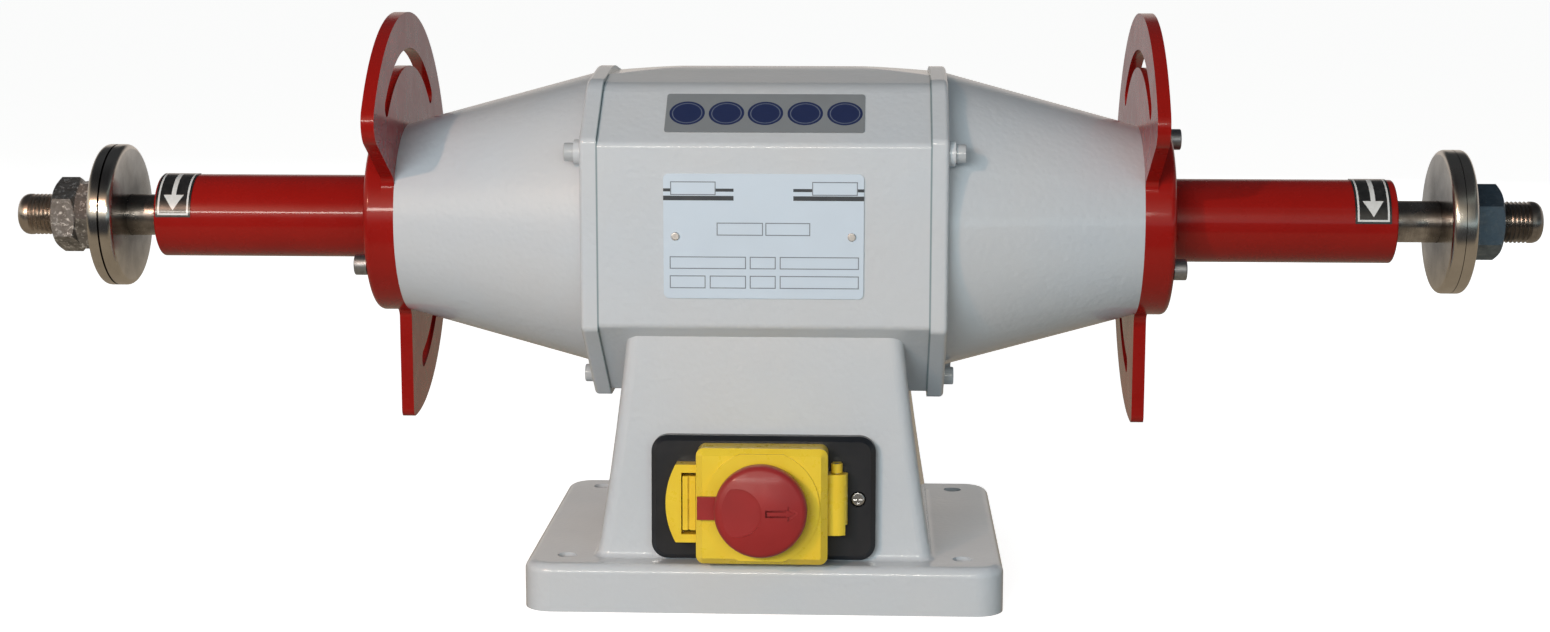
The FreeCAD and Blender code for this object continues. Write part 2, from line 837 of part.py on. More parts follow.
def slot_bar(extra, reach):
    """One slot of the stack, or the copper in it when made smaller."""
    half = stator_slot_w / 2 + extra
    low = stator_inner_r + stator_tooth_tip - extra
    return box(
        -reach, reach, -half, half,
        spindle_height + low, spindle_height + stator_slot_top_r + extra)


def around_axis(shape, count):
    """Copies of a shape evenly spaced about the spindle axis."""
    copies = []
    for i in range(count):
        copy = shape.copy()
        copy.rotate(point_yz(0, 0, 0), FreeCAD.Vector(1, 0, 0), 360 / count * i)
        copies.append(copy)
    return copies


def stator_core():
    """Laminated stack with open slots for the winding."""
    stack = tube_x(housing_bore_r - stator_hold_gap, stator_inner_r, -stator_half, stator_half)
    slots = around_axis(slot_bar(0, stator_half + cut_over), stator_slot_count)
    return stack.cut(Part.makeCompound(slots))


def stator_windings():
    """Copper in the slots, joined by the end turns at both ends."""
    x0 = stator_half + winding_gap
    x1 = stator_half + winding_reach
    inner = stator_inner_r + stator_tooth_tip + winding_gap
    ends = []
    for side in (1, -1):
        ring = tube_x(winding_outer_r, inner - winding_gap, x0, x1)
        rim = edges_where(ring, lambda m, e: abs(m.x - x1) < seat_gap)
        ends.append(on_side(ring.makeFillet(winding_edge_r, rim), side))
    bars = around_axis(slot_bar(-winding_gap, x0 + winding_gap), stator_slot_count)
    return fused(ends + bars)


def rotor_core():
    """Rotor stack with the end rings of its cage."""
    outer = rotor_outer_r
    bore = spindle_core_r + seat_gap
    x_stack = stator_half
    x_ring = stator_half + rotor_ring_t
    return turned([
        (-x_ring, rotor_ring_inner_r),
        (-x_ring, rotor_ring_outer_r),
        (-x_stack, rotor_ring_outer_r),
        (-x_stack, outer),
        (x_stack, outer),
        (x_stack, rotor_ring_outer_r),
        (x_ring, rotor_ring_outer_r),
        (x_ring, rotor_ring_inner_r),
        (x_stack, rotor_ring_inner_r),
        (x_stack, bore),
        (-x_stack, bore),
        (-x_stack, rotor_ring_inner_r),
    ])


# Spindle

def spindle():
    """Stepped shaft, threaded and rounded at both ends, in one piece."""
    x_collar = stator_half + rotor_ring_t
    x_seat = bearing_x() - bearing_width
    x_groove = bearing_x()
    x_thin = nose_x() + plate_t / 2
    x_round = spindle_half - spindle_end_round
    thread_from = spindle_half - thread_len
    crest = spindle_end_r
    root = spindle_end_r - thread_depth
    profile = [
        (0, 0),
        (0, spindle_core_r),
        (x_collar, spindle_core_r),
        (x_collar, spindle_collar_r),
        (x_seat, spindle_collar_r),
        (x_seat, bearing_bore_r),
        (x_groove, bearing_bore_r),
        (x_groove, clip_groove_r),
        (x_groove + clip_groove_t, clip_groove_r),
        (x_groove + clip_groove_t, bearing_bore_r),
        (x_thin, bearing_bore_r),
        (x_thin, crest),
        (thread_from, crest),
    ]
    turns = int((x_round - thread_from) / thread_pitch)
    for i in range(turns):
        start = thread_from + thread_pitch * i
        profile.append((start + thread_pitch / 2, root))
        profile.append((start + thread_pitch, crest))
    profile.append((x_round, crest))
    points = [point_yz(x, 0, radius) for x, radius in profile]
    edges = []
    for i in range(len(points) - 1):
        if (points[i + 1] - points[i]).Length > seat_gap / 100:
            edges.append(Part.LineSegment(points[i], points[i + 1]).toShape())
    centre_r = spindle_end_r - spindle_end_round
    diagonal = spindle_end_round * math.sqrt(0.5)
    tip = point_yz(spindle_half, 0, centre_r)
    bend = point_yz(x_round + diagonal, 0, centre_r + diagonal)
    axis_end = point_yz(spindle_half, 0, 0)
    edges.append(Part.Arc(points[-1], bend, tip).toShape())
    edges.append(Part.LineSegment(tip, axis_end).toShape())
    edges.append(Part.LineSegment(axis_end, points[0]).toShape())
    face = Part.Face(Part.Wire(edges))
    right = face.revolve(point_yz(0, 0, 0), FreeCAD.Vector(1, 0, 0), 360)
    return fused([right, on_side(right, -1)])


def spindle_clips():
    """Two retaining rings in the grooves outside the bearings."""
    x0 = bearing_x()
    ring = tube_x(clip_outer_r, clip_groove_r + seat_gap, x0 + seat_gap, x0 + seat_gap + clip_t)
    mouth = box(
        x0 - cut_over, x0 + clip_t + cut_over, -clip_mouth / 2, clip_mouth / 2,
        spindle_height, spindle_height + clip_outer_r + cut_over)
    ring = ring.cut(mouth)
    return Part.makeCompound([ring, on_side(ring, -1)])


# Wheel flanges and nuts

def wheel_flange(x0, bore):
    """Turned clamping disc, both rims bevelled."""
    x1 = x0 + flange_t
    return turned([
        (x0, bore),
        (x0, flange_r - flange_bevel),
        (x0 + flange_bevel, flange_r),
        (x1 - flange_bevel, flange_r),
        (x1, flange_r - flange_bevel),
        (x1, bore),
    ])


def flange_seat(side):
    return flange_right_x if side > 0 else flange_left_x


def inner_flange(side):
    return on_side(wheel_flange(flange_seat(side), spindle_end_r + seat_gap), side)


def outer_flange(side):
    x0 = flange_seat(side) + flange_t
    return on_side(wheel_flange(x0, spindle_end_r + spin_gap), side)


def hex_nut(x0, thickness, turn):
    """Hexagonal nut, its corners chamfered on both faces."""
    corner_r = nut_flats / math.sqrt(3)
    face_r = nut_flats / 2 - spin_gap
    fall = (corner_r - face_r) * math.tan(math.radians(nut_bevel))
    x1 = x0 + thickness
    blank = turned([
        (x0, nut_thread_r),
        (x0, face_r),
        (x0 + fall, corner_r),
        (x1 - fall, corner_r),
        (x1, face_r),
        (x1, nut_thread_r),
    ])
    return hexagon_x(nut_flats, x0 - cut_over, x1 + cut_over, turn).common(blank)


def left_nut():
    return on_side(hex_nut(flange_left_x + 2 * flange_t, nut_left_t, 0), -1)


def left_lock_nut():
    return on_side(hex_nut(flange_left_x + 2 * flange_t + nut_left_t, nut_left_t, nut_turn), -1)


def right_nut():
    return hex_nut(flange_right_x + 2 * flange_t, nut_right_t, nut_turn)


# Labels

def rivet_shank(x, extra):
    start = point_yz(x, -housing_depth - plate_label_t - extra, rivet_z)
    end = point_yz(x, -housing_depth + rivet_len + extra, rivet_z)
    return rod(rivet_r + extra, start, end)


def nameplate():
    """Blank data plate riveted to the flat front face."""
    y1 = -housing_depth
    half_z = (plate_label_low + plate_label_top) / 2
    middle = spindle_height + (plate_label_top - plate_label_low) / 2
    shape = rounded_block(
        plate_label_half, half_z, 0, middle, y1 - plate_label_t, y1, plate_label_r)
    for x in (-rivet_x, rivet_x):
        shape = shape.cut(rivet_shank(x, screw_gap))
    return shape


def nameplate_rivets():
    rivets = []
    for x in (-rivet_x, rivet_x):
        y0 = -housing_depth - plate_label_t
        head = rod(rivet_head_r, point_yz(x, y0 - rivet_head_t, rivet_z), point_yz(x, y0, rivet_z))
        rim = edges_where(head, lambda m, e: abs(m.y - y0 + rivet_head_t) < seat_gap)
        head = head.makeFillet(rivet_head_t / 2, rim)
        rivets.append(head.fuse(rivet_shank(x, 0)))
    return Part.makeCompound(rivets)


def symbol_strip():
    """Thin label on the upper sloping face."""
    slope = math.radians(housing_slope)
    up = FreeCAD.Vector(0, math.cos(slope), math.sin(slope))
    out = FreeCAD.Vector(0, -math.sin(slope), math.cos(slope))
    across = FreeCAD.Vector(1, 0, 0)
    edge = point_yz(0, -housing_depth, housing_face_top)
    low = edge + up * strip_start
    high = low + up * strip_height
    points = [
        low - across * strip_half,
        low + across * strip_half,
        high + across * strip_half,
        high - across * strip_half,
    ]
    return rounded_prism(points, [strip_r] * len(points), out * label_t)


def arrow_label(side):
    """Label bent around the top and front of the tube, near its end."""
    inset = arrow_inset_right if side > 0 else arrow_inset_left
    x1 = tube_end - inset
    x0 = x1 - arrow_width
    inner = tube_r + seat_gap
    ring = tube_x(inner + label_t, inner, x0, x1)
    wide = 2 * tube_r
    middle = (arrow_from + arrow_to) / 2
    wedge = Part.Face(Part.makePolygon([
        point_yz(x0 - cut_over, 0, 0),
        polar_yz(x0 - cut_over, wide, arrow_from),
        polar_yz(x0 - cut_over, 2 * wide, middle),
        polar_yz(x0 - cut_over, wide, arrow_to),
        point_yz(x0 - cut_over, 0, 0),
    ])).extrude(FreeCAD.Vector(arrow_width + 2 * cut_over, 0, 0))
    return on_side(ring.common(wedge), side)


# Pedestal and base

def pedestal_front(z):
    """Half depth of the pedestal at a height, from its drafted front face."""
    top_z = spindle_height - pedestal_top_drop
    share = (z - base_t) / (top_z - base_t)
    return pedestal_foot_front + (pedestal_top_front - pedestal_foot_front) * share


def pedestal_draft():
    """Lean of the pedestal's front face, degrees from upright."""
    rise = spindle_height - pedestal_top_drop - base_t
    return math.degrees(math.atan((pedestal_foot_front - pedestal_top_front) / rise))


def pedestal_block(inset, z0, z1):
    """Tapered column with concave flanks, its walls moved inwards by inset."""
    deep = pedestal_foot_front + base_half_y
    foot = FreeCAD.Vector(pedestal_foot_half - inset, -deep, base_t)
    middle = FreeCAD.Vector(pedestal_mid_half - inset, -deep, spindle_height - pedestal_mid_drop)
    top = FreeCAD.Vector(pedestal_top_half - inset, -deep, spindle_height - pedestal_top_drop)
    circle = Part.Circle(foot, middle, top)
    ends = []
    for z in (z0, z1):
        reach = math.sqrt(circle.Radius ** 2 - (z - circle.Center.z) ** 2)
        ends.append(FreeCAD.Vector(circle.Center.x - reach, -deep, z))
    low, high = ends
    flank = Part.Arc(low, middle, high).toShape()
    high_edge = Part.LineSegment(high, FreeCAD.Vector(-high.x, -deep, z1)).toShape()
    sole_edge = Part.LineSegment(low, FreeCAD.Vector(-low.x, -deep, z0)).toShape()
    edges = Part.__sortEdges__([flank, on_side(flank, -1), high_edge, sole_edge])
    front_view = Part.Face(Part.Wire(edges)).extrude(FreeCAD.Vector(0, 2 * deep, 0))
    y0 = pedestal_front(z0) - inset
    y1 = pedestal_front(z1) - inset
    wide = base_half_x
    side_view = Part.Face(Part.makePolygon([
        FreeCAD.Vector(-wide, -y0, z0),
        FreeCAD.Vector(-wide, y0, z0),
        FreeCAD.Vector(-wide, y1, z1),
        FreeCAD.Vector(-wide, -y1, z1),
        FreeCAD.Vector(-wide, -y0, z0),
    ])).extrude(FreeCAD.Vector(2 * wide, 0, 0))
    return front_view.common(side_view)


def housing_envelope(grown):
    """Housing section run through, grown downwards by a wall for the hollow."""
    lower = grown / math.cos(math.radians(housing_slope))
    section = housing_section(
        -base_half_x, housing_depth, housing_face_top, housing_face_low + lower,
        housing_crest, housing_bottom + grown)
    return rounded_prism(section, section_radii(), FreeCAD.Vector(2 * base_half_x, 0, 0))


def four_places(x, y):
    return [(x * i, y * j) for i in (-1, 1) for j in (-1, 1)]


def upright(radius, z0, z1, x, y):
    return rod(radius, FreeCAD.Vector(x, y, z0), FreeCAD.Vector(x, y, z1))


def base_slab():
    """Base with rounded corners and a rounded top edge."""
    corners = [(-1, -1), (1, -1), (1, 1), (-1, 1)]
    points = [FreeCAD.Vector(base_half_x * i, base_half_y * j, 0) for i, j in corners]
    slab = rounded_prism(points, [base_corner_r] * len(points), FreeCAD.Vector(0, 0, base_t))
    top_edges = edges_where(slab, lambda m, e: abs(m.z - base_t) < seat_gap)
    return slab.makeFillet(base_edge_r, top_edges)


def base_pad(extra, z0, z1, x, y):
    """Pad around a base hole, filled out to the corner of the base."""
    far_x = math.copysign(base_half_x, x)
    far_y = math.copysign(base_half_y, y)
    corner = box(min(x, far_x), max(x, far_x), min(y, far_y), max(y, far_y), z0, z1)
    return upright(base_pad_r + extra, z0, z1, x, y).fuse(corner)


def base_pocket():
    """Hollow under the base, around the pads and the cover's bosses."""
    inner_x = base_half_x - base_rim
    inner_y = base_half_y - base_rim
    ceiling = base_t - base_top_t
    pocket = box(-inner_x, inner_x, -inner_y, inner_y, -cut_over, ceiling)
    for x, y in four_places(base_hole_x, base_hole_y):
        pocket = pocket.cut(base_pad(0, -2 * cut_over, base_t, x, y))
    for x, y in four_places(cover_screw_x, cover_screw_y):
        pocket = pocket.cut(upright(cover_boss_r, cover_z + cover_t, base_t, x, y))
    return pocket


def base_pedestal():
    """Base and column, one hollow casting open at the underside."""
    column = pedestal_block(0, base_t / 2, spindle_height)
    upright_edges = edges_where(
        column,
        lambda m, e: abs(m.x) > pedestal_top_half / 2 and abs(m.y) > pedestal_top_front / 2
        and base_t / 2 < m.z < spindle_height)
    column = column.makeFillet(pedestal_corner_r, upright_edges)
    shape = base_slab().fuse(column)
    foot_edges = edges_where(shape, on_foot_line)
    shape = shape.makeFillet(pedestal_foot_r, foot_edges)
    shape = shape.cut(housing_envelope(0))
    hollow = pedestal_block(pedestal_wall, -cut_over, spindle_height)
    hollow = hollow.cut(housing_envelope(pedestal_wall))
    bosses = [
        upright(cover_boss_r, cover_z + cover_t, base_t, x, y)
        for x, y in four_places(cover_screw_x, cover_screw_y)]
    hollow = hollow.cut(Part.makeCompound(bosses))
    shape = shape.cut(hollow)
    shape = shape.cut(base_pocket())
    for x, y in four_places(base_hole_x, base_hole_y):
        shape = shape.cut(upright(base_hole_r, -cut_over, base_t + cut_over, x, y))
    for x, y in four_places(cover_screw_x, cover_screw_y):
        tip = cover_z + cover_screw_len + cover_t
        shape = shape.cut(upright(cover_screw_r + screw_gap, 0, tip, x, y))
    ceiling = spindle_height - housing_bottom - pedestal_wall
    roof = spindle_height - housing_bottom + cut_over
    for x, y in four_places(mount_bolt_x, mount_bolt_y):
        shape = shape.cut(upright(mount_bolt_r + bolt_gap, ceiling - cut_over, roof, x, y))
    shape = shape.cut(upright(wire_hole_r, ceiling - cut_over, roof, 0, 0))
    shape = shape.cut(on_front(switch_seat_cut()))
    shape = shape.cut(gland_seat_cut())
    return shape


def on_foot_line(middle, edge):
    """True for the edges where the column meets the top of the base."""
    inside_x = abs(middle.x) < pedestal_foot_half + cut_over
    inside_y = abs(middle.y) < pedestal_foot_front + cut_over
    return abs(middle.z - base_t) < seat_gap and inside_x and inside_y


def bottom_cover():
    """Sheet steel cover inside the rim of the base."""
    half_x = base_half_x - base_rim - cover_gap
    half_y = base_half_y - base_rim - cover_gap
    shape = box(-half_x, half_x, -half_y, half_y, cover_z, cover_z + cover_t)
    for x, y in four_places(base_hole_x, base_hole_y):
        shape = shape.cut(base_pad(cover_gap, 0, base_t, x, y))
    for x, y in four_places(cover_screw_x, cover_screw_y):
        shape = shape.cut(upright(cover_screw_r + bolt_gap, 0, base_t, x, y))
    return shape


def bottom_cover_screws():
    screws = []
    for x, y in four_places(cover_screw_x, cover_screw_y):
        head = upright(cover_screw_head_r, cover_z - cover_screw_head_t, cover_z, x, y)
        shank = upright(cover_screw_r, cover_z, cover_z + cover_screw_len, x, y)
        screws.append(head.fuse(shank))
    return Part.makeCompound(screws)


def mount_bolts():
    """Hexagon bolts from inside the pedestal up into the housing."""
    seat = spindle_height - housing_bottom - pedestal_wall
    bolts = []
    for x, y in four_places(mount_bolt_x, mount_bolt_y):
        corners = []
        for i in range(6):
            turn = math.radians(60 * i)
            corners.append(FreeCAD.Vector(
                x + mount_bolt_head_r * math.cos(turn), y + mount_bolt_head_r * math.sin(turn),
                seat - mount_bolt_head_t))
        face = Part.Face(Part.makePolygon(corners + [corners[0]]))
        head = face.extrude(FreeCAD.Vector(0, 0, mount_bolt_head_t))
        tip = spindle_height - housing_bottom + mount_bolt_reach
        bolts.append(head.fuse(upright(mount_bolt_r, seat, tip, x, y)))
    return Part.makeCompound(bolts)


# Cable gland at the back of the pedestal

def gland_seats():
    """Outer and inner seat planes, spot-faced square to the gland."""
    outer = pedestal_front(gland_z + gland_spot_r)
    inner = pedestal_front(gland_z - gland_spot_r) - pedestal_wall
    return outer, inner


def along_back(radius, y0, y1):
    return rod(radius, FreeCAD.Vector(gland_x, y0, gland_z), FreeCAD.Vector(gland_x, y1, gland_z))


def gland_seat_cut():
    outer, inner = gland_seats()
    spot = along_back(gland_spot_r, outer, outer + pedestal_wall)
    spot_inside = along_back(gland_spot_r, inner - pedestal_wall, inner)
    hole = along_back(gland_thread_r + bolt_gap, inner - cut_over, outer + cut_over)
    return fused([spot, spot_inside, hole])


def hexagon_y(flats, y0, y1, x, z):
    """Hexagonal bar along Y."""
    corners = []
    for i in range(6):
        turn = math.radians(60 * i)
        corner_r = flats / math.sqrt(3)
        corners.append(FreeCAD.Vector(x + corner_r * math.cos(turn), y0, z + corner_r * math.sin(turn)))
    face = Part.Face(Part.makePolygon(corners + [corners[0]]))
    return face.extrude(FreeCAD.Vector(0, y1 - y0, 0))


def cable_gland():
    """Threaded gland body with its hexagon against the wall."""
    outer, inner = gland_seats()
    tail = inner - gland_nut_t - gland_tail
    collar = outer + gland_hex_t + gland_dome_len / 2
    shape = hexagon_y(gland_hex_af, outer, outer + gland_hex_t, gland_x, gland_z)
    shape = shape.fuse(along_back(gland_thread_r, tail, collar))
    return shape.cut(along_back(gland_bore_r, tail - cut_over, collar + cut_over))


def gland_cap():
    """Domed nut screwed over the gland body."""
    outer, inner = gland_seats()
    y0 = outer + gland_hex_t
    y1 = y0 + gland_dome_len
    collar = y0 + gland_dome_len / 2
    shape = along_back(gland_dome_r, y0, y1)
    rim = edges_where(shape, lambda m, e: abs(m.y - y1) < seat_gap)
    shape = shape.makeFillet(gland_dome_r / 3, rim)
    shape = shape.cut(along_back(gland_thread_r + screw_gap, y0 - cut_over, collar + screw_gap))
    return shape.cut(along_back(gland_bore_r, y0, y1 + cut_over))


def gland_nut():
    outer, inner = gland_seats()
    shape = hexagon_y(gland_hex_af, inner - gland_nut_t, inner, gland_x, gland_z)
    return shape.cut(along_back(
        gland_thread_r + screw_gap, inner - gland_nut_t - cut_over, inner + cut_over))


# Electrical parts on the bottom cover

def capacitor_axis_z():
    return cover_z + cover_t + clip_band_t + capacitor_r


def along_x(radius, x0, x1, y, z):
    return rod(radius, FreeCAD.Vector(x0, y, z), FreeCAD.Vector(x1, y, z))


def capacitor():
    """Run capacitor, a plain can with rounded ends."""
    half = capacitor_len / 2
    shape = along_x(capacitor_r, -half, half, capacitor_y, capacitor_axis_z())
    rims = edges_where(shape, lambda m, e: abs(abs(m.x) - half) < seat_gap)
    return shape.makeFillet(capacitor_cap_r, rims)


def capacitor_clip():
    """Sheet metal band over the capacitor with two feet on the cover."""
    z = capacitor_axis_z()
    half = clip_band_w / 2
    floor = cover_z + cover_t
    inner = capacitor_r + seat_gap
    outer = capacitor_r + clip_band_t
    ring = along_x(outer, -half, half, capacitor_y, z)
    legs = box(-half, half, capacitor_y - outer, capacitor_y + outer, floor, z)
    feet = box(
        -half, half, capacitor_y - outer - clip_foot_len, capacitor_y + outer + clip_foot_len,
        floor, floor + clip_band_t)
    shape = fused([ring, legs, feet])
    shape = shape.cut(along_x(inner, -half - cut_over, half + cut_over, capacitor_y, z))
    return shape.cut(box(
        -half - cut_over, half + cut_over, capacitor_y - inner, capacitor_y + inner,
        floor - cut_over, z))


def terminal_block():
    """Plastic terminal strip with a row of clamp screws' wells."""
    floor = cover_z + cover_t
    half = terminal_len / 2
    y0 = terminal_y - terminal_w / 2
    shape = box(-half, half, y0, y0 + terminal_w, floor, floor + terminal_h)
    pitch = terminal_len / terminal_ways
    for i in range(terminal_ways):
        x = -half + pitch * (i + 0.5)
        for y in (y0 + terminal_w / 4, y0 + terminal_w * 3 / 4):
            shape = shape.cut(upright(
                terminal_well_r, floor + terminal_h / 2, floor + terminal_h + cut_over, x, y))
    return shape


# Switch, drawn upright about the faceplate centre and then leant on the wall

def on_front(shape):
    """Place a switch part, y = 0 being the pedestal's front face."""
    z = spindle_height - switch_drop
    seat = FreeCAD.Placement(
        FreeCAD.Vector(0, -pedestal_front(z), z),
        FreeCAD.Rotation(FreeCAD.Vector(1, 0, 0), -pedestal_draft()))
    return shape.transformed(seat.toMatrix())


def rod_y(radius, y0, y1, x, z):
    return rod(radius, FreeCAD.Vector(x, y0, z), FreeCAD.Vector(x, y1, z))


def block_between(x0, x1, half_z, z_mid, y0, y1, radius):
    """Rounded block along Y between two x values."""
    return rounded_block((x1 - x0) / 2, half_z, (x0 + x1) / 2, z_mid, y0, y1, radius)


def switch_seat_cut():
    """Flat seat for the faceplate, window for the contact block, screw holes."""
    seat = box(
        -switch_half_x - plug_gap, switch_half_x + plug_gap, -switch_t, 0,
        -switch_half_z - plug_gap, switch_half_z + plug_gap)
    window = box(
        -switch_window_x, switch_window_x, -cut_over, 2 * pedestal_wall,
        -switch_window_z, switch_window_z)
    shape = seat.fuse(window)
    for x in (-switch_screw_left_x, switch_screw_right_x):
        shape = shape.fuse(rod_y(
            switch_screw_r + screw_gap, -cut_over, 2 * pedestal_wall, x, 0))
    return shape


def button_spans():
    """Left and right edge of the start and the stop button."""
    return [(start_from, start_to), (stop_from, stop_to)]


def switch_faceplate():
    """Moulded plate with bevelled rim, button windows and screw recesses."""
    shape = rounded_block(switch_half_x, switch_half_z, 0, 0, -switch_t, 0, switch_corner_r)
    rim = edges_where(shape, lambda m, e: abs(m.y + switch_t) < seat_gap)
    shape = shape.makeChamfer(switch_edge_r, rim)
    for x0, x1 in button_spans():
        shape = shape.cut(block_between(
            x0 - button_gap, x1 + button_gap, button_half_z + button_gap, -lid_drop,
            -switch_t - cut_over, cut_over, button_r + button_gap))
    for x in (-switch_screw_left_x, switch_screw_right_x):
        shape = shape.cut(rod_y(switch_screw_r + bolt_gap, -switch_t, cut_over, x, 0))
        recess_r = switch_screw_head_r + plug_gap
        shape = shape.cut(rod_y(recess_r, -switch_t - cut_over, -switch_screw_floor, x, 0))
    shape = fused([shape, hinge_ear(hinge_block_half + hinge_ear_gap, hinge_barrel_len)])
    low = -hinge_block_half
    shape = fused([shape, hinge_ear(low, hinge_barrel_len)])
    return on_front(shape.cut(hinge_bore(hinge_pin_r + seat_gap)))


def hinge_axis():
    """Hinge pin axis in the switch's plane: x, y."""
    x = lid_half_x + hinge_block_w - hinge_barrel_r
    y = -switch_t - lid_gap - hinge_barrel_r
    return x, y


def hinge_bore(radius):
    x, y = hinge_axis()
    low = -hinge_block_half - cut_over
    high = hinge_block_half + hinge_ear_gap + hinge_barrel_len + cut_over
    return upright(radius, low - lid_drop, high - lid_drop, x, y)


def hinge_ear(z_low, height):
    """Round ear of the faceplate that carries the hinge pin."""
    x, y = hinge_axis()
    z0 = z_low - lid_drop
    ear = upright(hinge_ear_r, z0, z0 + height, x, y)
    web = box(x - hinge_web / 2, x + hinge_web / 2, y, -switch_t + cut_over, z0, z0 + height)
    return ear.fuse(web)


def hinge_pin():
    x, y = hinge_axis()
    z0 = -hinge_block_half - lid_drop
    z1 = hinge_block_half + hinge_ear_gap + hinge_barrel_len - lid_drop
    return on_front(upright(hinge_pin_r, z0, z1, x, y))


def faceplate_screws():
    """Pan head screws with a cross recess."""
    screws = []
    for x in (-switch_screw_left_x, switch_screw_right_x):
        y0 = -switch_screw_floor - switch_screw_head_t
        head = rod_y(switch_screw_head_r, y0, -switch_screw_floor, x, 0)
        rim = edges_where(head, lambda m, e: abs(m.y - y0) < seat_gap)
        head = head.makeFillet(switch_screw_head_t / 2, rim)
        shank = rod_y(switch_screw_r, -switch_screw_floor, switch_screw_len - switch_t, x, 0)
        wing = switch_screw_head_r * 2 / 3
        half = switch_screw_cross_w / 2
        cross = box(x - wing, x + wing, y0 - cut_over, y0 + switch_screw_cross_t, -half, half)
        cross = cross.fuse(box(
            x - half, x + half, y0 - cut_over, y0 + switch_screw_cross_t, -wing, wing))
        screws.append(head.fuse(shank).cut(cross))
    return on_front(Part.makeCompound(screws))


def switch_body():
    """Contact block behind the faceplate, inside the pedestal."""
    half_x = switch_window_x - plug_gap
    half_z = switch_window_z - plug_gap
    shape = rounded_block(half_x, half_z, 0, 0, 0, switch_body_depth, button_r)
    hollow = rounded_block(
        half_x - switch_body_wall, half_z - switch_body_wall, 0, 0,
        -cut_over, button_chamber, button_r)
    shape = shape.cut(hollow)
    return on_front(shape)


def switch_tabs():
    """Brass blade terminals on the back of the contact block."""
    tabs = []
    for i in range(switch_tab_count):
        share = (i + 0.5) / switch_tab_count
        x = -switch_window_x + 2 * switch_window_x * share
        tabs.append(box(
            x - switch_tab_w / 2, x + switch_tab_w / 2,
            switch_body_depth, switch_body_depth + switch_tab_len,
            -switch_tab_t / 2, switch_tab_t / 2))
    return on_front(Part.makeCompound(tabs))


def push_button(x0, x1):
    """Button through the faceplate with a retaining rim behind it."""
    front = -switch_t - button_proud
    back = seat_gap + spin_gap + button_flange
    cap = block_between(x0, x1, button_half_z, -lid_drop, front, back, button_r)
    rim = edges_where(cap, lambda m, e: abs(m.y - front) < seat_gap)
    cap = cap.makeFillet(button_face_r, rim)
    flange = block_between(
        x0 - button_flange, x1 + button_flange, button_half_z + button_flange, -lid_drop,
        seat_gap + spin_gap, back, button_r)
    stem = rod_y(button_spring_r - button_spring_t - spin_gap * 2, back,
                 back + button_travel / 2, (x0 + x1) / 2, -lid_drop)
    return on_front(fused([cap, flange, stem]))


def start_button():
    return push_button(start_from, start_to)


def stop_button():
    return push_button(stop_from, stop_to)


def button_spring(x0, x1):
    """Return spring of a button, drawn as a sleeve."""
    y0 = seat_gap + spin_gap + button_flange
    middle = (x0 + x1) / 2
    outer = rod_y(button_spring_r, y0, button_chamber, middle, -lid_drop)
    inner = rod_y(
        button_spring_r - button_spring_t, y0 - cut_over, button_chamber + cut_over,
        middle, -lid_drop)
    return on_front(outer.cut(inner))


def start_spring():
    return button_spring(start_from, start_to)


def stop_spring():
    return button_spring(stop_from, stop_to)


# Lid with hinge block and latch loop

def lid_back():
    return -switch_t - lid_gap


def lid_front():
    return lid_back() - lid_depth


def boss_front():
    return lid_front() - lid_boss_t


def loop_outline(half, reach, y0, y1):
    """Arched loop on the left of the lid."""
    root = -lid_half_x + lid_wall
    z_mid = -lid_drop
    left = -lid_half_x - reach
    shoulder = -lid_half_x - reach * loop_shoulder_share
    upper = Part.LineSegment(
        FreeCAD.Vector(root, y0, z_mid + half),
        FreeCAD.Vector(shoulder, y0, z_mid + half)).toShape()
    arch = Part.Arc(
        FreeCAD.Vector(shoulder, y0, z_mid + half),
        FreeCAD.Vector(left, y0, z_mid),
        FreeCAD.Vector(shoulder, y0, z_mid - half)).toShape()
    lower = Part.LineSegment(
        FreeCAD.Vector(shoulder, y0, z_mid - half),
        FreeCAD.Vector(root, y0, z_mid - half)).toShape()
    close = Part.LineSegment(
        FreeCAD.Vector(root, y0, z_mid - half),
        FreeCAD.Vector(root, y0, z_mid + half)).toShape()
    face = Part.Face(Part.Wire([upper, arch, lower, close]))
    return face.extrude(FreeCAD.Vector(0, y1 - y0, 0))


def slot_span():
    """Left and right edge of the slot in the latch loop."""
    x0 = -lid_half_x - loop_reach + slot_from
    return x0, x0 + slot_width


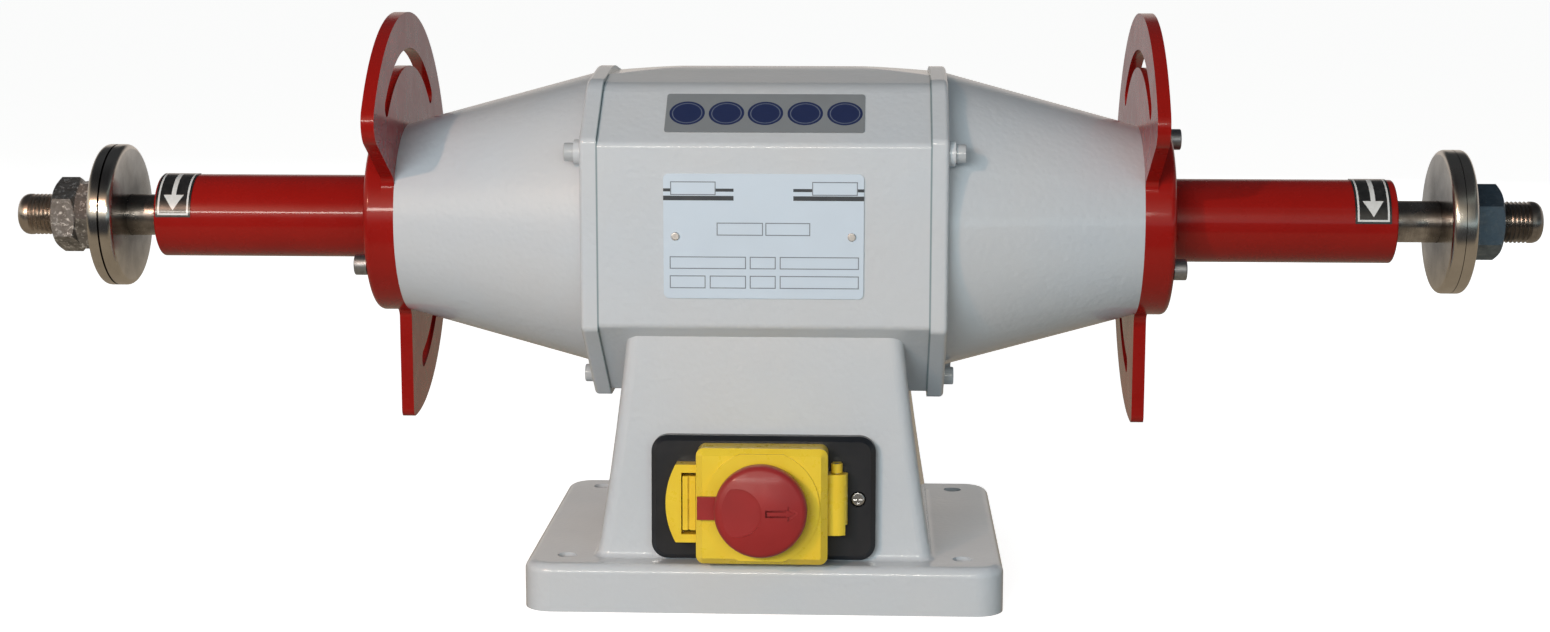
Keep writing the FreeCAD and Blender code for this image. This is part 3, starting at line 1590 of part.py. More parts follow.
def switch_lid():
    """Lid shell with boss, hinge block and latch loop in one moulding."""
    z_mid = -lid_drop
    shell = rounded_block(
        lid_half_x, lid_half_z, 0, z_mid, lid_front(), lid_back(), lid_corner_r)
    rim = edges_where(shell, lambda m, e: abs(m.y - lid_front()) < seat_gap)
    shell = shell.makeChamfer(lid_bevel, rim)
    boss = rod_y(lid_boss_r, boss_front(), lid_front() + cut_over, 0, z_mid)
    boss = boss.common(box(
        -lid_boss_r, lid_boss_r, boss_front(), lid_front() + cut_over,
        z_mid - lid_boss_cut, z_mid + lid_boss_cut))
    loop = loop_outline(loop_half, loop_reach, lid_back() - loop_t, lid_back())
    axis_x, axis_y = hinge_axis()
    barrel = upright(
        hinge_barrel_r, z_mid - hinge_block_half, z_mid + hinge_block_half, axis_x, axis_y)
    block = box(
        lid_half_x - lid_wall, axis_x, axis_y - hinge_barrel_r, lid_back(),
        z_mid - hinge_block_half, z_mid + hinge_block_half)
    shape = fused([shell, boss, loop, barrel, block])
    hollow = rounded_block(
        lid_half_x - lid_wall, lid_half_z - lid_wall, 0, z_mid,
        lid_front() + lid_wall, lid_back() + cut_over, lid_wall)
    shape = shape.cut(hollow)
    slot_x0, slot_x1 = slot_span()
    shape = shape.cut(box(
        slot_x0, slot_x1, lid_back() - loop_t - cut_over, lid_back() + cut_over,
        z_mid - slot_half, z_mid + slot_half))
    neck_r = release_neck_r + spin_gap * 2
    y0 = boss_front() - cut_over
    y1 = lid_front() + lid_wall + cut_over
    for x in (0, release_travel):
        shape = shape.cut(rod_y(neck_r, y0, y1, x, z_mid))
    shape = shape.cut(box(0, release_travel, y0, y1, z_mid - neck_r, z_mid + neck_r))
    shape = shape.cut(hinge_bore(hinge_pin_r + spin_gap))
    clear_r = hinge_ear_r + hinge_ear_gap
    notch_z0 = z_mid - hinge_block_half - cut_over
    notch_z1 = z_mid - hinge_block_half + hinge_barrel_len + hinge_ear_gap
    shape = shape.cut(upright(clear_r, notch_z0, notch_z1, axis_x, axis_y))
    far = 2 * hinge_barrel_r
    shape = shape.cut(box(
        axis_x - clear_r, axis_x + far, axis_y - clear_r, axis_y + far, notch_z0, notch_z1))
    return on_front(shape)


def lock_lug():
    """Ribbed lug on the faceplate that stands in the slot of the loop."""
    slot_x0, slot_x1 = slot_span()
    middle = (slot_x0 + slot_x1) / 2
    y0 = lid_back() - loop_t + lug_gap
    shape = box(
        middle - lug_w / 2, middle + lug_w / 2, y0, -switch_t,
        -lid_drop - lug_half, -lid_drop + lug_half)
    groove = box(
        middle - lug_groove / 2, middle + lug_groove / 2, y0 - cut_over, y0 + lug_groove,
        -lid_drop - lug_half - cut_over, -lid_drop + lug_half + cut_over)
    return on_front(shape.cut(groove))


# Mushroom button and its release slide

def release_back_y():
    return boss_front() - release_gap


def release_front_y():
    return release_back_y() - release_t


def release_slide():
    """Latch slide under the mushroom, its red tab reaching left."""
    z_mid = -lid_drop
    plate = box(
        -release_reach, release_back, release_front_y(), release_back_y(),
        z_mid - release_half, z_mid + release_half)
    inside = lid_front() + lid_wall + release_gap
    neck = rod_y(release_neck_r, release_front_y(), inside + release_rim_t, 0, z_mid)
    rim = rod_y(release_rim_r, inside, inside + release_rim_t, 0, z_mid)
    shape = fused([plate, neck, rim])
    bore = rod_y(
        mushroom_stem_r + spin_gap, release_front_y() - cut_over,
        inside + release_rim_t + cut_over, 0, z_mid)
    return on_front(shape.cut(bore))


def mushroom_rim_y():
    """Open end of the mushroom at rest."""
    return boss_front() - release_gap - mushroom_travel


def mushroom_front_y():
    return mushroom_rim_y() - mushroom_t


def arrow_outline(grow):
    """Right-pointing arrow on the mushroom's face, grown all round."""
    x0 = mushroom_arrow_x - grow
    x1 = mushroom_arrow_x + mushroom_arrow_len + 2 * grow
    neck = x1 - mushroom_arrow_head - grow
    half = mushroom_arrow_head / 4 + grow
    wide = mushroom_arrow_head / 2 + grow * 2
    y0 = mushroom_front_y() - mushroom_dome - cut_over
    z = -lid_drop
    points = [(x0, -half), (neck, -half), (neck, -wide), (x1, 0), (neck, wide), (neck, half), (x0, half)]
    corners = [FreeCAD.Vector(x, y0, z + dz) for x, dz in points]
    face = Part.Face(Part.makePolygon(corners + [corners[0]]))
    return face.extrude(FreeCAD.Vector(0, mushroom_dome / 2 + mushroom_arrow_t + cut_over, 0))


def mushroom_button():
    """Domed emergency button: a cup with a central stem."""
    z_mid = -lid_drop
    rim_y = mushroom_rim_y()
    front = mushroom_front_y()
    stem_end = -switch_t - button_proud - release_gap - mushroom_travel
    dome_r = (mushroom_r ** 2 + mushroom_dome ** 2) / (2 * mushroom_dome)
    cup = rod_y(mushroom_r, front - mushroom_dome, rim_y, 0, z_mid)
    ball = Part.makeSphere(dome_r, FreeCAD.Vector(0, front - mushroom_dome + dome_r, z_mid))
    cup = cup.common(ball)
    rim = edges_where(cup, lambda m, e: m.y < rim_y - mushroom_t / 2 and e.Length > mushroom_r)
    cup = cup.makeFillet(mushroom_edge_r, rim)
    cup = cup.cut(rod_y(mushroom_r - mushroom_wall, front + mushroom_wall, rim_y + cut_over, 0, z_mid))
    stem = rod_y(mushroom_stem_r, front + mushroom_wall / 2, stem_end, 0, z_mid)
    shape = fused([cup, stem])
    catch_y = lid_front() + lid_wall + release_gap + release_rim_t + release_gap
    catch = rod_y(mushroom_stem_r + mushroom_catch, catch_y, stem_end, 0, z_mid)
    shape = shape.fuse(catch)
    notch_half = release_half + release_gap
    shape = shape.cut(box(
        -mushroom_r - cut_over, -mushroom_r / 2, rim_y - mushroom_travel, rim_y + cut_over,
        z_mid - notch_half, z_mid + notch_half))
    dish = rod_y(
        mushroom_thumb_r, front - mushroom_dome - cut_over, front - mushroom_dome / 2 + mushroom_thumb_dish,
        -mushroom_thumb_x, z_mid)
    shape = shape.cut(dish.common(rod_y(
        mushroom_r - mushroom_edge_r, front - mushroom_dome - cut_over, rim_y, 0, z_mid)))
    arrow = arrow_outline(mushroom_arrow_w / 2).cut(arrow_outline(-mushroom_arrow_w / 4))
    return on_front(shape.cut(arrow))


def mushroom_spring():
    """Return spring between the slide and the mushroom, drawn as a sleeve."""
    y0 = mushroom_front_y() + mushroom_wall
    y1 = release_front_y()
    outer = rod_y(mushroom_spring_r, y0, y1, 0, -lid_drop)
    inner = rod_y(
        mushroom_spring_r - mushroom_spring_t, y0 - cut_over, y1 + cut_over, 0, -lid_drop)
    return on_front(outer.cut(inner))


# Every piece by its name

pieces = {
    "base_pedestal": base_pedestal(),
    "bottom_cover": bottom_cover(),
    "bottom_cover_screws": bottom_cover_screws(),
    "mount_bolts": mount_bolts(),
    "cable_gland": cable_gland(),
    "gland_cap": gland_cap(),
    "gland_nut": gland_nut(),
    "capacitor": capacitor(),
    "capacitor_clip": capacitor_clip(),
    "terminal_block": terminal_block(),
    "motor_housing": motor_housing(),
    "stator_core": stator_core(),
    "stator_windings": stator_windings(),
    "rotor_core": rotor_core(),
    "spindle": spindle(),
    "spindle_clips": spindle_clips(),
    "bearing_balls": bearing_balls(),
    "nameplate": nameplate(),
    "nameplate_rivets": nameplate_rivets(),
    "symbol_strip": symbol_strip(),
    "switch_faceplate": switch_faceplate(),
    "faceplate_screws": faceplate_screws(),
    "switch_body": switch_body(),
    "switch_tabs": switch_tabs(),
    "hinge_pin": hinge_pin(),
    "lock_lug": lock_lug(),
    "start_button": start_button(),
    "start_spring": start_spring(),
    "stop_button": stop_button(),
    "stop_spring": stop_spring(),
    "switch_lid": switch_lid(),
    "release_slide": release_slide(),
    "mushroom_button": mushroom_button(),
    "mushroom_spring": mushroom_spring(),
    "left_nut": left_nut(),
    "left_lock_nut": left_lock_nut(),
    "right_nut": right_nut(),
}

paired = {
    "end_bell": end_bell,
    "end_bell_screws": end_bell_screws,
    "guard_plate": guard_plate,
    "spindle_tube": spindle_tube,
    "tube_screws": tube_screws,
    "dust_seal": dust_seal,
    "bearing_outer": bearing_outer,
    "bearing_inner": bearing_inner,
    "inner_flange": inner_flange,
    "outer_flange": outer_flange,
    "arrow_label": arrow_label,
}

for name, make in paired.items():
    pieces[name + "_left"] = make(-1)
    pieces[name + "_right"] = make(1)

os.makedirs("parts", exist_ok=True)
for name, shape in pieces.items():
    shape.exportStep("parts/" + name + ".step")
    print(name, len(shape.Solids), shape.isValid(), round(shape.Volume))
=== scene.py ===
import math

import bmesh
import bpy
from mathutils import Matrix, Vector


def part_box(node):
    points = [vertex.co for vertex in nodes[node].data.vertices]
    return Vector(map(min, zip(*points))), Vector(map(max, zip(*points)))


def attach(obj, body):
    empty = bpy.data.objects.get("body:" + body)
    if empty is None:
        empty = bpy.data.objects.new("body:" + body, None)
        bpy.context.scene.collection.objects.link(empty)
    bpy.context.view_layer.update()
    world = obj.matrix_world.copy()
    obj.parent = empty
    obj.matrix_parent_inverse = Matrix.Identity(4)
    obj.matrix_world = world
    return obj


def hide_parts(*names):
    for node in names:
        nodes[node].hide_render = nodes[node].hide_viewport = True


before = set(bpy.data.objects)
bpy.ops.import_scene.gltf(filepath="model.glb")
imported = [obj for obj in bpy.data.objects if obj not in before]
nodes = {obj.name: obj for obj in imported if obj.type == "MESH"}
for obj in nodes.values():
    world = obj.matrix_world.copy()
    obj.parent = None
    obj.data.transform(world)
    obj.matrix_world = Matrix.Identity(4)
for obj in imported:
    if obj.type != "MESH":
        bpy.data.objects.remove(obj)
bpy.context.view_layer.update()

# Base and pedestal
# One hollow casting with a flat foot and a waisted column. It is painted with a
# pale grey structured enamel whose fine orange peel breaks up every highlight.

MM = 0.001
enamel_warm = (0.583, 0.588, 0.590, 1)
enamel_cool = (0.560, 0.586, 0.607, 1)
enamel_dull = (0.475, 0.480, 0.480, 1)
enamel_tone_size = 90 * MM
enamel_wear_size = 30 * MM
dust_size = 0.5 * MM
swell_size, swell_height = 14 * MM, 0.25 * MM
peel_size, peel_height = 2.6 * MM, 0.16 * MM
fine_size, fine_height = peel_size / 3, 0.03 * MM
# A dark teal line of painted shade marks the foot of the step at each housing joint.
joint_shade_colour = (0.20, 0.26, 0.27, 1)
joint_shade_half = 0.55 * MM


def new_finish(name, **sockets):
    """A Principled material with constants on its sockets, and its tools."""
    material = bpy.data.materials.new(name)
    material.use_nodes = True
    tree = material.node_tree
    shader = tree.nodes["Principled BSDF"]
    for socket, value in sockets.items():
        shader.inputs[socket.replace("_", " ")].default_value = value
    return material, tree, shader


def add_node(tree, kind, inputs=(), **settings):
    """A shader node with settings, and values or links on its inputs."""
    made = tree.nodes.new("ShaderNode" + kind)
    for key, value in settings.items():
        setattr(made, key, value)
    for key, value in dict(inputs).items():
        if isinstance(value, bpy.types.NodeSocket):
            tree.links.new(value, made.inputs[key])
        else:
            made.inputs[key].default_value = value
    return made


def object_coords(tree, stretch=(1, 1, 1)):
    """Object coordinates in metres. A stretch under 1 draws a pattern out along that axis."""
    coords = add_node(tree, "TexCoord").outputs["Object"]
    return add_node(tree, "Mapping", {"Vector": coords, "Scale": stretch}).outputs["Vector"]


def centred_coords(tree, coords, middle):
    """X, Y and Z measured from a point of the piece."""
    moved = add_node(tree, "Mapping", {"Vector": coords, "Location": -Vector(middle)})
    return add_node(tree, "SeparateXYZ", {"Vector": moved.outputs["Vector"]}).outputs


def grain(tree, coords, size, detail=2.0, roughness=0.5):
    """Noise whose lumps are about size metres across."""
    made = add_node(tree, "TexNoise", {
        "Vector": coords, "Scale": 1 / size, "Detail": detail, "Roughness": roughness})
    return made.outputs["Fac"]


def spread(tree, fac, low, high, out_low=0.0, out_high=1.0):
    """Maps the part of a factor from low to high onto another range."""
    made = add_node(tree, "MapRange", {
        "Value": fac, "From Min": low, "From Max": high, "To Min": out_low, "To Max": out_high})
    return made.outputs["Result"]


def blend_colours(tree, fac, first, second):
    """The first colour where the factor is 0, the second where it is 1."""
    made = add_node(tree, "Mix", data_type="RGBA")
    factor, colour_a, colour_b = made.inputs[0], made.inputs[6], made.inputs[7]
    for socket, value in ((factor, fac), (colour_a, first), (colour_b, second)):
        if isinstance(value, bpy.types.NodeSocket):
            tree.links.new(value, socket)
        else:
            socket.default_value = value
    return made.outputs[2]


def combine(tree, operation, first, second=0):
    """One Math node."""
    return add_node(tree, "Math", {0: first, 1: second}, operation=operation).outputs[0]


def off_from(tree, value, place):
    """How far a value lies from a place, on either side."""
    return combine(tree, "ABSOLUTE", combine(tree, "SUBTRACT", value, place))


def raise_surface(tree, shader, heights):
    """Chains one Bump node for each (height, depth in metres) pair."""
    normal = None
    for height, depth in heights:
        inputs = {"Height": height, "Distance": depth, "Strength": 1.0}
        if normal:
            inputs["Normal"] = normal
        normal = add_node(tree, "Bump", inputs).outputs["Normal"]
    tree.links.new(normal, shader.inputs["Normal"])


def paint_nodes(material, slot, *names):
    """Gives carried-over CAD nodes their finish."""
    for name in names:
        piece = nodes[name]
        piece.data.materials.clear()
        piece.data.materials.append(material)


def enamel_finish(name, warm, cool, dull, seam=None):
    """Structured enamel. With a seam, a dark teal line of painted shade runs round at that X on
    both sides.
    """
    material, tree, shader = new_finish(
        name, Coat_Weight=0.85, Coat_Roughness=0.06, Specular_IOR_Level=0.3)
    coords = object_coords(tree)
    tone = spread(tree, grain(tree, coords, enamel_tone_size, 3), 0.35, 0.65)
    colour = blend_colours(tree, tone, warm, cool)
    specks = spread(tree, grain(tree, coords, dust_size, 4, 0.7), 0.60, 0.80, 0, 0.35)
    colour = blend_colours(tree, specks, colour, dull)
    # The dark teal line is painted shade at the foot of the step between the castings.
    if seam:
        along = add_node(tree, "SeparateXYZ", {"Vector": coords}).outputs["X"]
        off_seam = off_from(tree, combine(tree, "ABSOLUTE", along), seam)
        line = spread(tree, off_seam, joint_shade_half, joint_shade_half / 2, 0, 0.85)
        colour = blend_colours(tree, line, colour, joint_shade_colour)
    tree.links.new(colour, shader.inputs["Base Color"])
    wear = grain(tree, coords, enamel_wear_size, 4)
    tree.links.new(spread(tree, wear, 0.3, 0.7, 0.30, 0.44), shader.inputs["Roughness"])
    peel = add_node(tree, "TexVoronoi", {
        "Vector": coords, "Scale": 1 / peel_size, "Smoothness": 1.0}, feature="SMOOTH_F1")
    raise_surface(tree, shader, [
        (grain(tree, coords, swell_size, 2), swell_height),
        (peel.outputs["Distance"], peel_height),
        (grain(tree, coords, fine_size, 3), fine_height)])
    return material


enamel = enamel_finish("structured_grey_enamel", enamel_warm, enamel_cool, enamel_dull)
paint_nodes(enamel, "body_paint", "base_pedestal")

# Bottom cover, its screws and the bolts under the housing
# A zinc-plated steel sheet closes the foot. Four pan head screws hold it, and
# four hexagon bolts come up through the roof of the column into the housing.

zinc_light = (0.66, 0.67, 0.68, 1)
zinc_dark = (0.47, 0.48, 0.50, 1)
scratch_depth = 0.012 * MM


def metal_finish(name, light, dark, cloud, scratch, smooth, rough, stretch=(1, 1, 1)):
    """Bare or plated metal: clouds of tone and roughness, scratches drawn out by the stretch."""
    material, tree, shader = new_finish(name, Metallic=1.0)
    coords = object_coords(tree)
    clouds = spread(tree, grain(tree, coords, cloud, 4, 0.6), 0.3, 0.7)
    tree.links.new(blend_colours(tree, clouds, light, dark), shader.inputs["Base Color"])
    scratches = grain(tree, object_coords(tree, stretch), scratch, 3, 0.6)
    wear = combine(tree, "MULTIPLY", clouds, scratches)
    tree.links.new(spread(tree, wear, 0.0, 0.6, smooth, rough), shader.inputs["Roughness"])
    raise_surface(tree, shader, [(scratches, scratch_depth)])
    return material


zinc_sheet = metal_finish(
    "zinc_plated_sheet", zinc_light, zinc_dark, cloud=12 * MM, scratch=0.6 * MM,
    smooth=0.28, rough=0.45, stretch=(1, 0.15, 1))
zinc_screw = metal_finish(
    "bright_zinc_screw", zinc_light, zinc_dark, cloud=4 * MM, scratch=0.3 * MM,
    smooth=0.18, rough=0.36)
paint_nodes(zinc_sheet, "zinc_sheet", "bottom_cover")
paint_nodes(zinc_screw, "zinc_screws", "bottom_cover_screws", "mount_bolts")

# Cable gland
# A black polyamide gland sits in the back wall of the column: a threaded body
# with its hexagon, a domed cap outside and a lock nut inside.

moulding_cloud_size = 18 * MM
scuff_size = 7 * MM


def plastic_finish(name, tone, shade, smooth, rough, texture, depth, coat=0.0):
    """Moulded plastic: slight tone changes, scuffs and the fine texture of its mould."""
    material, tree, shader = new_finish(name, Coat_Weight=coat, Coat_Roughness=0.12)
    coords = object_coords(tree)
    clouds = spread(tree, grain(tree, coords, moulding_cloud_size, 3), 0.3, 0.7)
    tree.links.new(blend_colours(tree, clouds, tone, shade), shader.inputs["Base Color"])
    scuffs = grain(tree, coords, scuff_size, 5, 0.65)
    tree.links.new(spread(tree, scuffs, 0.3, 0.7, smooth, rough), shader.inputs["Roughness"])
    raise_surface(tree, shader, [(grain(tree, coords, texture, 2, 0.6), depth)])
    return material


black_plastic = plastic_finish(
    "black_polyamide", (0.018, 0.018, 0.020, 1), (0.030, 0.030, 0.032, 1),
    smooth=0.42, rough=0.55, texture=0.4 * MM, depth=0.02 * MM)
paint_nodes(black_plastic, "black_plastic", "cable_gland", "gland_cap", "gland_nut")

# Capacitor, clip and terminal strip
# The electrical parts stand on the bottom cover: a run capacitor in a pale
# plastic can under a sheet metal band, and an off-white terminal strip.

pale_can = plastic_finish(
    "capacitor_can", (0.62, 0.62, 0.58, 1), (0.70, 0.70, 0.66, 1),
    smooth=0.35, rough=0.5, texture=0.5 * MM, depth=0.01 * MM)
cream_block = plastic_finish(
    "terminal_cream", (0.70, 0.67, 0.58, 1), (0.76, 0.74, 0.66, 1),
    smooth=0.4, rough=0.55, texture=0.4 * MM, depth=0.01 * MM)
paint_nodes(pale_can, "capacitor_can", "capacitor")
paint_nodes(cream_block, "terminal_plastic", "terminal_block")
paint_nodes(zinc_sheet, "zinc_sheet", "capacitor_clip")

# Motor housing and end bells
# Three aluminium castings in the same enamel as the foot: an eight-sided middle
# with a low roof, and a bolted rim with a long cone at each end. A dark teal line
# of painted shade runs round each joint at the foot of the step between the
# castings, and the enamel has run over the screws.

joint_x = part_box("motor_housing")[1].x
housing_enamel = enamel_finish(
    "enamel_with_painted_joint_shade", enamel_warm, enamel_cool, enamel_dull, seam=joint_x)
painted_screw = enamel_finish(
    "painted_over_screw", (0.50, 0.51, 0.51, 1), (0.45, 0.47, 0.48, 1), (0.30, 0.31, 0.31, 1))
paint_nodes(housing_enamel, "body_paint", "motor_housing", "end_bell_left", "end_bell_right")
paint_nodes(painted_screw, "zinc_screws", "end_bell_screws_left", "end_bell_screws_right")

# Stator and rotor
# Stacks of electrical sheet, seen only in a cut: varnished copper in the slots
# of the outer one, cast aluminium end rings on the inner one.

lamination = metal_finish(
    "electrical_sheet", (0.20, 0.20, 0.21, 1), (0.13, 0.13, 0.14, 1),
    cloud=10 * MM, scratch=0.5 * MM, smooth=0.4, rough=0.6, stretch=(1, 0.02, 0.02))
copper = metal_finish(
    "varnished_copper", (0.55, 0.22, 0.08, 1), (0.42, 0.15, 0.06, 1),
    cloud=6 * MM, scratch=0.8 * MM, smooth=0.25, rough=0.45, stretch=(0.1, 1, 1))
paint_nodes(lamination, "lamination", "stator_core")
paint_nodes(lamination, "rotor_metal", "rotor_core")
paint_nodes(copper, "copper", "stator_windings")

# Bearings, retaining rings and dust seals
# Polished ball bearings run in both cone noses. Black spring rings hold them on
# the spindle, and a rubber ring closes the end of each tube.

bearing_steel = metal_finish(
    "polished_bearing_steel", (0.70, 0.70, 0.72, 1), (0.60, 0.60, 0.62, 1),
    cloud=8 * MM, scratch=0.3 * MM, smooth=0.08, rough=0.2, stretch=(0.1, 1, 1))
spring_steel = metal_finish(
    "blued_spring_steel", (0.10, 0.10, 0.11, 1), (0.06, 0.06, 0.07, 1),
    cloud=4 * MM, scratch=0.3 * MM, smooth=0.3, rough=0.45)
seal_rubber = plastic_finish(
    "seal_rubber", (0.012, 0.012, 0.012, 1), (0.022, 0.022, 0.022, 1),
    smooth=0.6, rough=0.75, texture=0.3 * MM, depth=0.02 * MM)
for side in ("left", "right"):
    paint_nodes(bearing_steel, "bearing_steel", "bearing_outer_" + side, "bearing_inner_" + side)
    paint_nodes(seal_rubber, "seal_rubber", "dust_seal_" + side)
paint_nodes(bearing_steel, "bearing_steel", "bearing_balls")
paint_nodes(spring_steel, "spring_steel", "spindle_clips")

# Guard plates and spindle tubes
# Laser-cut steel plates and turned tubes with welded flanges, all in the same
# glossy red enamel. At a low angle they mirror the pale walls of the room.

red_bright = (0.315, 0.0085, 0.0055, 1)
red_deep = (0.275, 0.0075, 0.0050, 1)
red_tone_size = 45 * MM
red_wear_size = 12 * MM
red_wave_size, red_wave_height = 26 * MM, 0.03 * MM


def gloss_enamel():
    material, tree, shader = new_finish(
        "glossy_red_enamel", Coat_Weight=0.55, Coat_Roughness=0.07, Specular_IOR_Level=0.1)
    coords = object_coords(tree)
    tone = spread(tree, grain(tree, coords, red_tone_size, 3), 0.3, 0.7)
    tree.links.new(blend_colours(tree, tone, red_bright, red_deep), shader.inputs["Base Color"])
    wear = grain(tree, coords, red_wear_size, 4)
    tree.links.new(spread(tree, wear, 0.3, 0.7, 0.22, 0.34), shader.inputs["Roughness"])
    raise_surface(tree, shader, [(grain(tree, coords, red_wave_size, 1), red_wave_height)])
    return material


red_enamel = gloss_enamel()
dull_zinc = metal_finish(
    "dull_zinc_screw", (0.46, 0.49, 0.53, 1), (0.30, 0.32, 0.35, 1),
    cloud=3 * MM, scratch=0.4 * MM, smooth=0.38, rough=0.55)
for side in ("left", "right"):
    paint_nodes(red_enamel, "red_paint", "guard_plate_" + side, "spindle_tube_" + side)
    paint_nodes(dull_zinc, "zinc_screws", "tube_screws_" + side)

# Spindle
# A ground steel shaft, darkened by oil. Both ends carry an M20 thread, and the
# last millimetres of the left one are worn and paler.

axis_height = 173 * MM
shaft_light = (0.50, 0.48, 0.46, 1)
shaft_dark = (0.20, 0.18, 0.17, 1)
shaft_worn = (0.66, 0.58, 0.51, 1)
worn_from, worn_to = -330 * MM, -335 * MM
grinding_size, grinding_height = 0.5 * MM, 0.01 * MM
stain_size = 9 * MM


def shaft_finish():
    material, tree, shader = new_finish("oiled_ground_steel", Metallic=1.0)
    coords = object_coords(tree)
    rings = grain(tree, object_coords(tree, (1, 0.02, 0.02)), grinding_size, 4, 0.6)
    stains = spread(tree, grain(tree, coords, stain_size, 5, 0.65), 0.35, 0.7)
    colour = blend_colours(tree, stains, shaft_light, shaft_dark)
    colour = blend_colours(tree, spread(tree, rings, 0.4, 0.8, 0, 0.5), colour, shaft_dark)
    along = add_node(tree, "SeparateXYZ", {"Vector": coords}).outputs["X"]
    worn = spread(tree, along, worn_from, worn_to, 0, 0.55)
    colour = blend_colours(tree, worn, colour, shaft_worn)
    tree.links.new(colour, shader.inputs["Base Color"])
    tree.links.new(spread(tree, stains, 0, 1, 0.2, 0.42), shader.inputs["Roughness"])
    raise_surface(tree, shader, [(rings, grinding_height)])
    return material


paint_nodes(shaft_finish(), "spindle_steel", "spindle")

# Wheel flanges and nuts
# Turned and polished nickel-plated discs clamp the wheel. Two thin greasy nuts
# lock each other on the left, one dark zinc nut holds on the right.

plating_pale = (0.64, 0.61, 0.57, 1)
plating_deep = (0.55, 0.52, 0.48, 1)
plating_haze_size = 14 * MM
tool_ring_size, tool_ring_height = 0.35 * MM, 0.002 * MM
paste_and_shade_dark = (0.060, 0.052, 0.045, 1)
paste_inner, paste_outer = 15 * MM, 36 * MM
paste_edge_size, paste_edge_reach = 9 * MM, 6 * MM
left_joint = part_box("inner_flange_left")[0]
right_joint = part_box("inner_flange_right")[1]
flange_radius = right_joint.z - axis_height
flange_bore = 10.15 * MM
flange_round = 2.6 * MM
flange_round_steps = 6
left_gap, right_gap = 0.45 * MM, 0.15 * MM
gap_depth = 1.1 * MM
# Painted shade darkens the groove where the two flanges of a pair meet.
groove_shade_half = 0.5 * MM
groove_shade_inner = flange_radius - 1.4 * MM
groove_shade_outer = flange_radius - 0.2 * MM
turn_steps = 144
sharp_angle = math.radians(28)
nut_patch_size = 5 * MM
nut_speck_size = 2.2 * MM
nut_pit_size, nut_pit_depth = 0.8 * MM, 0.06 * MM


def band(tree, value, low, high):
    """1 where value lies between low and high."""
    over = combine(tree, "GREATER_THAN", value, low)
    under = combine(tree, "LESS_THAN", value, high)
    return combine(tree, "MULTIPLY", over, under)


def distance(tree, first, second):
    """Length of the way whose two legs are given."""
    square = combine(
        tree, "ADD", combine(tree, "MULTIPLY", first, first),
        combine(tree, "MULTIPLY", second, second))
    return combine(tree, "SQRT", square)


def turned_finish(name, brushed, joint_place):
    """Polished plating over the rings of the lathe tool, dark with paste near the shaft and with
    painted shade in the groove at the joint.
    """
    material, tree, shader = new_finish(
        name, Metallic=1.0, Anisotropic=brushed, Anisotropic_Rotation=0.25)
    coords = object_coords(tree)
    centred = centred_coords(tree, coords, (0, 0, axis_height))
    radius = distance(tree, centred["Y"], centred["Z"])
    around = add_node(tree, "CombineXYZ", {"X": radius, "Y": centred["X"]}).outputs["Vector"]
    rings = grain(tree, around, tool_ring_size, 3, 0.6)
    haze = spread(tree, grain(tree, coords, plating_haze_size, 4, 0.6), 0.35, 0.7)
    plating = blend_colours(tree, haze, plating_pale, plating_deep)
    uneven = spread(
        tree, grain(tree, coords, paste_edge_size, 4), 0.3, 0.7, 0, paste_edge_reach)
    smear = spread(
        tree, combine(tree, "ADD", radius, uneven), paste_inner, paste_outer, 0.9, 0)
    # Painted shade in the groove at the joint, in the same dark colour as the paste.
    near_joint = combine(
        tree, "LESS_THAN", off_from(tree, centred["X"], joint_place), groove_shade_half)
    painted_groove_shade = combine(
        tree, "MULTIPLY", near_joint, band(tree, radius, groove_shade_inner, groove_shade_outer))
    dark = combine(tree, "MAXIMUM", smear, painted_groove_shade)
    tree.links.new(blend_colours(tree, dark, plating, paste_and_shade_dark), shader.inputs["Base Color"])
    tree.links.new(spread(tree, haze, 0, 1, 0.20, 0.28), shader.inputs["Roughness"])
    tangent = add_node(tree, "Tangent", direction_type="RADIAL", axis="X").outputs["Tangent"]
    tree.links.new(tangent, shader.inputs["Tangent"])
    raise_surface(tree, shader, [(rings, tool_ring_height)])
    return material


def nut_finish(name, light, dark, speck, speck_share):
    """Dark plating with greasy patches and worn pale specks."""
    material, tree, shader = new_finish(name, Metallic=0.85)
    coords = object_coords(tree)
    patches = spread(tree, grain(tree, coords, nut_patch_size, 5, 0.65), 0.35, 0.68)
    colour = blend_colours(tree, patches, light, dark)
    specks = grain(tree, coords, nut_speck_size, 4, 0.7)
    colour = blend_colours(tree, spread(tree, specks, 0.54, 0.63, 0, speck_share), colour, speck)
    tree.links.new(colour, shader.inputs["Base Color"])
    tree.links.new(spread(tree, patches, 0, 1, 0.28, 0.52), shader.inputs["Roughness"])
    raise_surface(tree, shader, [(grain(tree, coords, nut_pit_size, 4, 0.7), nut_pit_depth)])
    return material


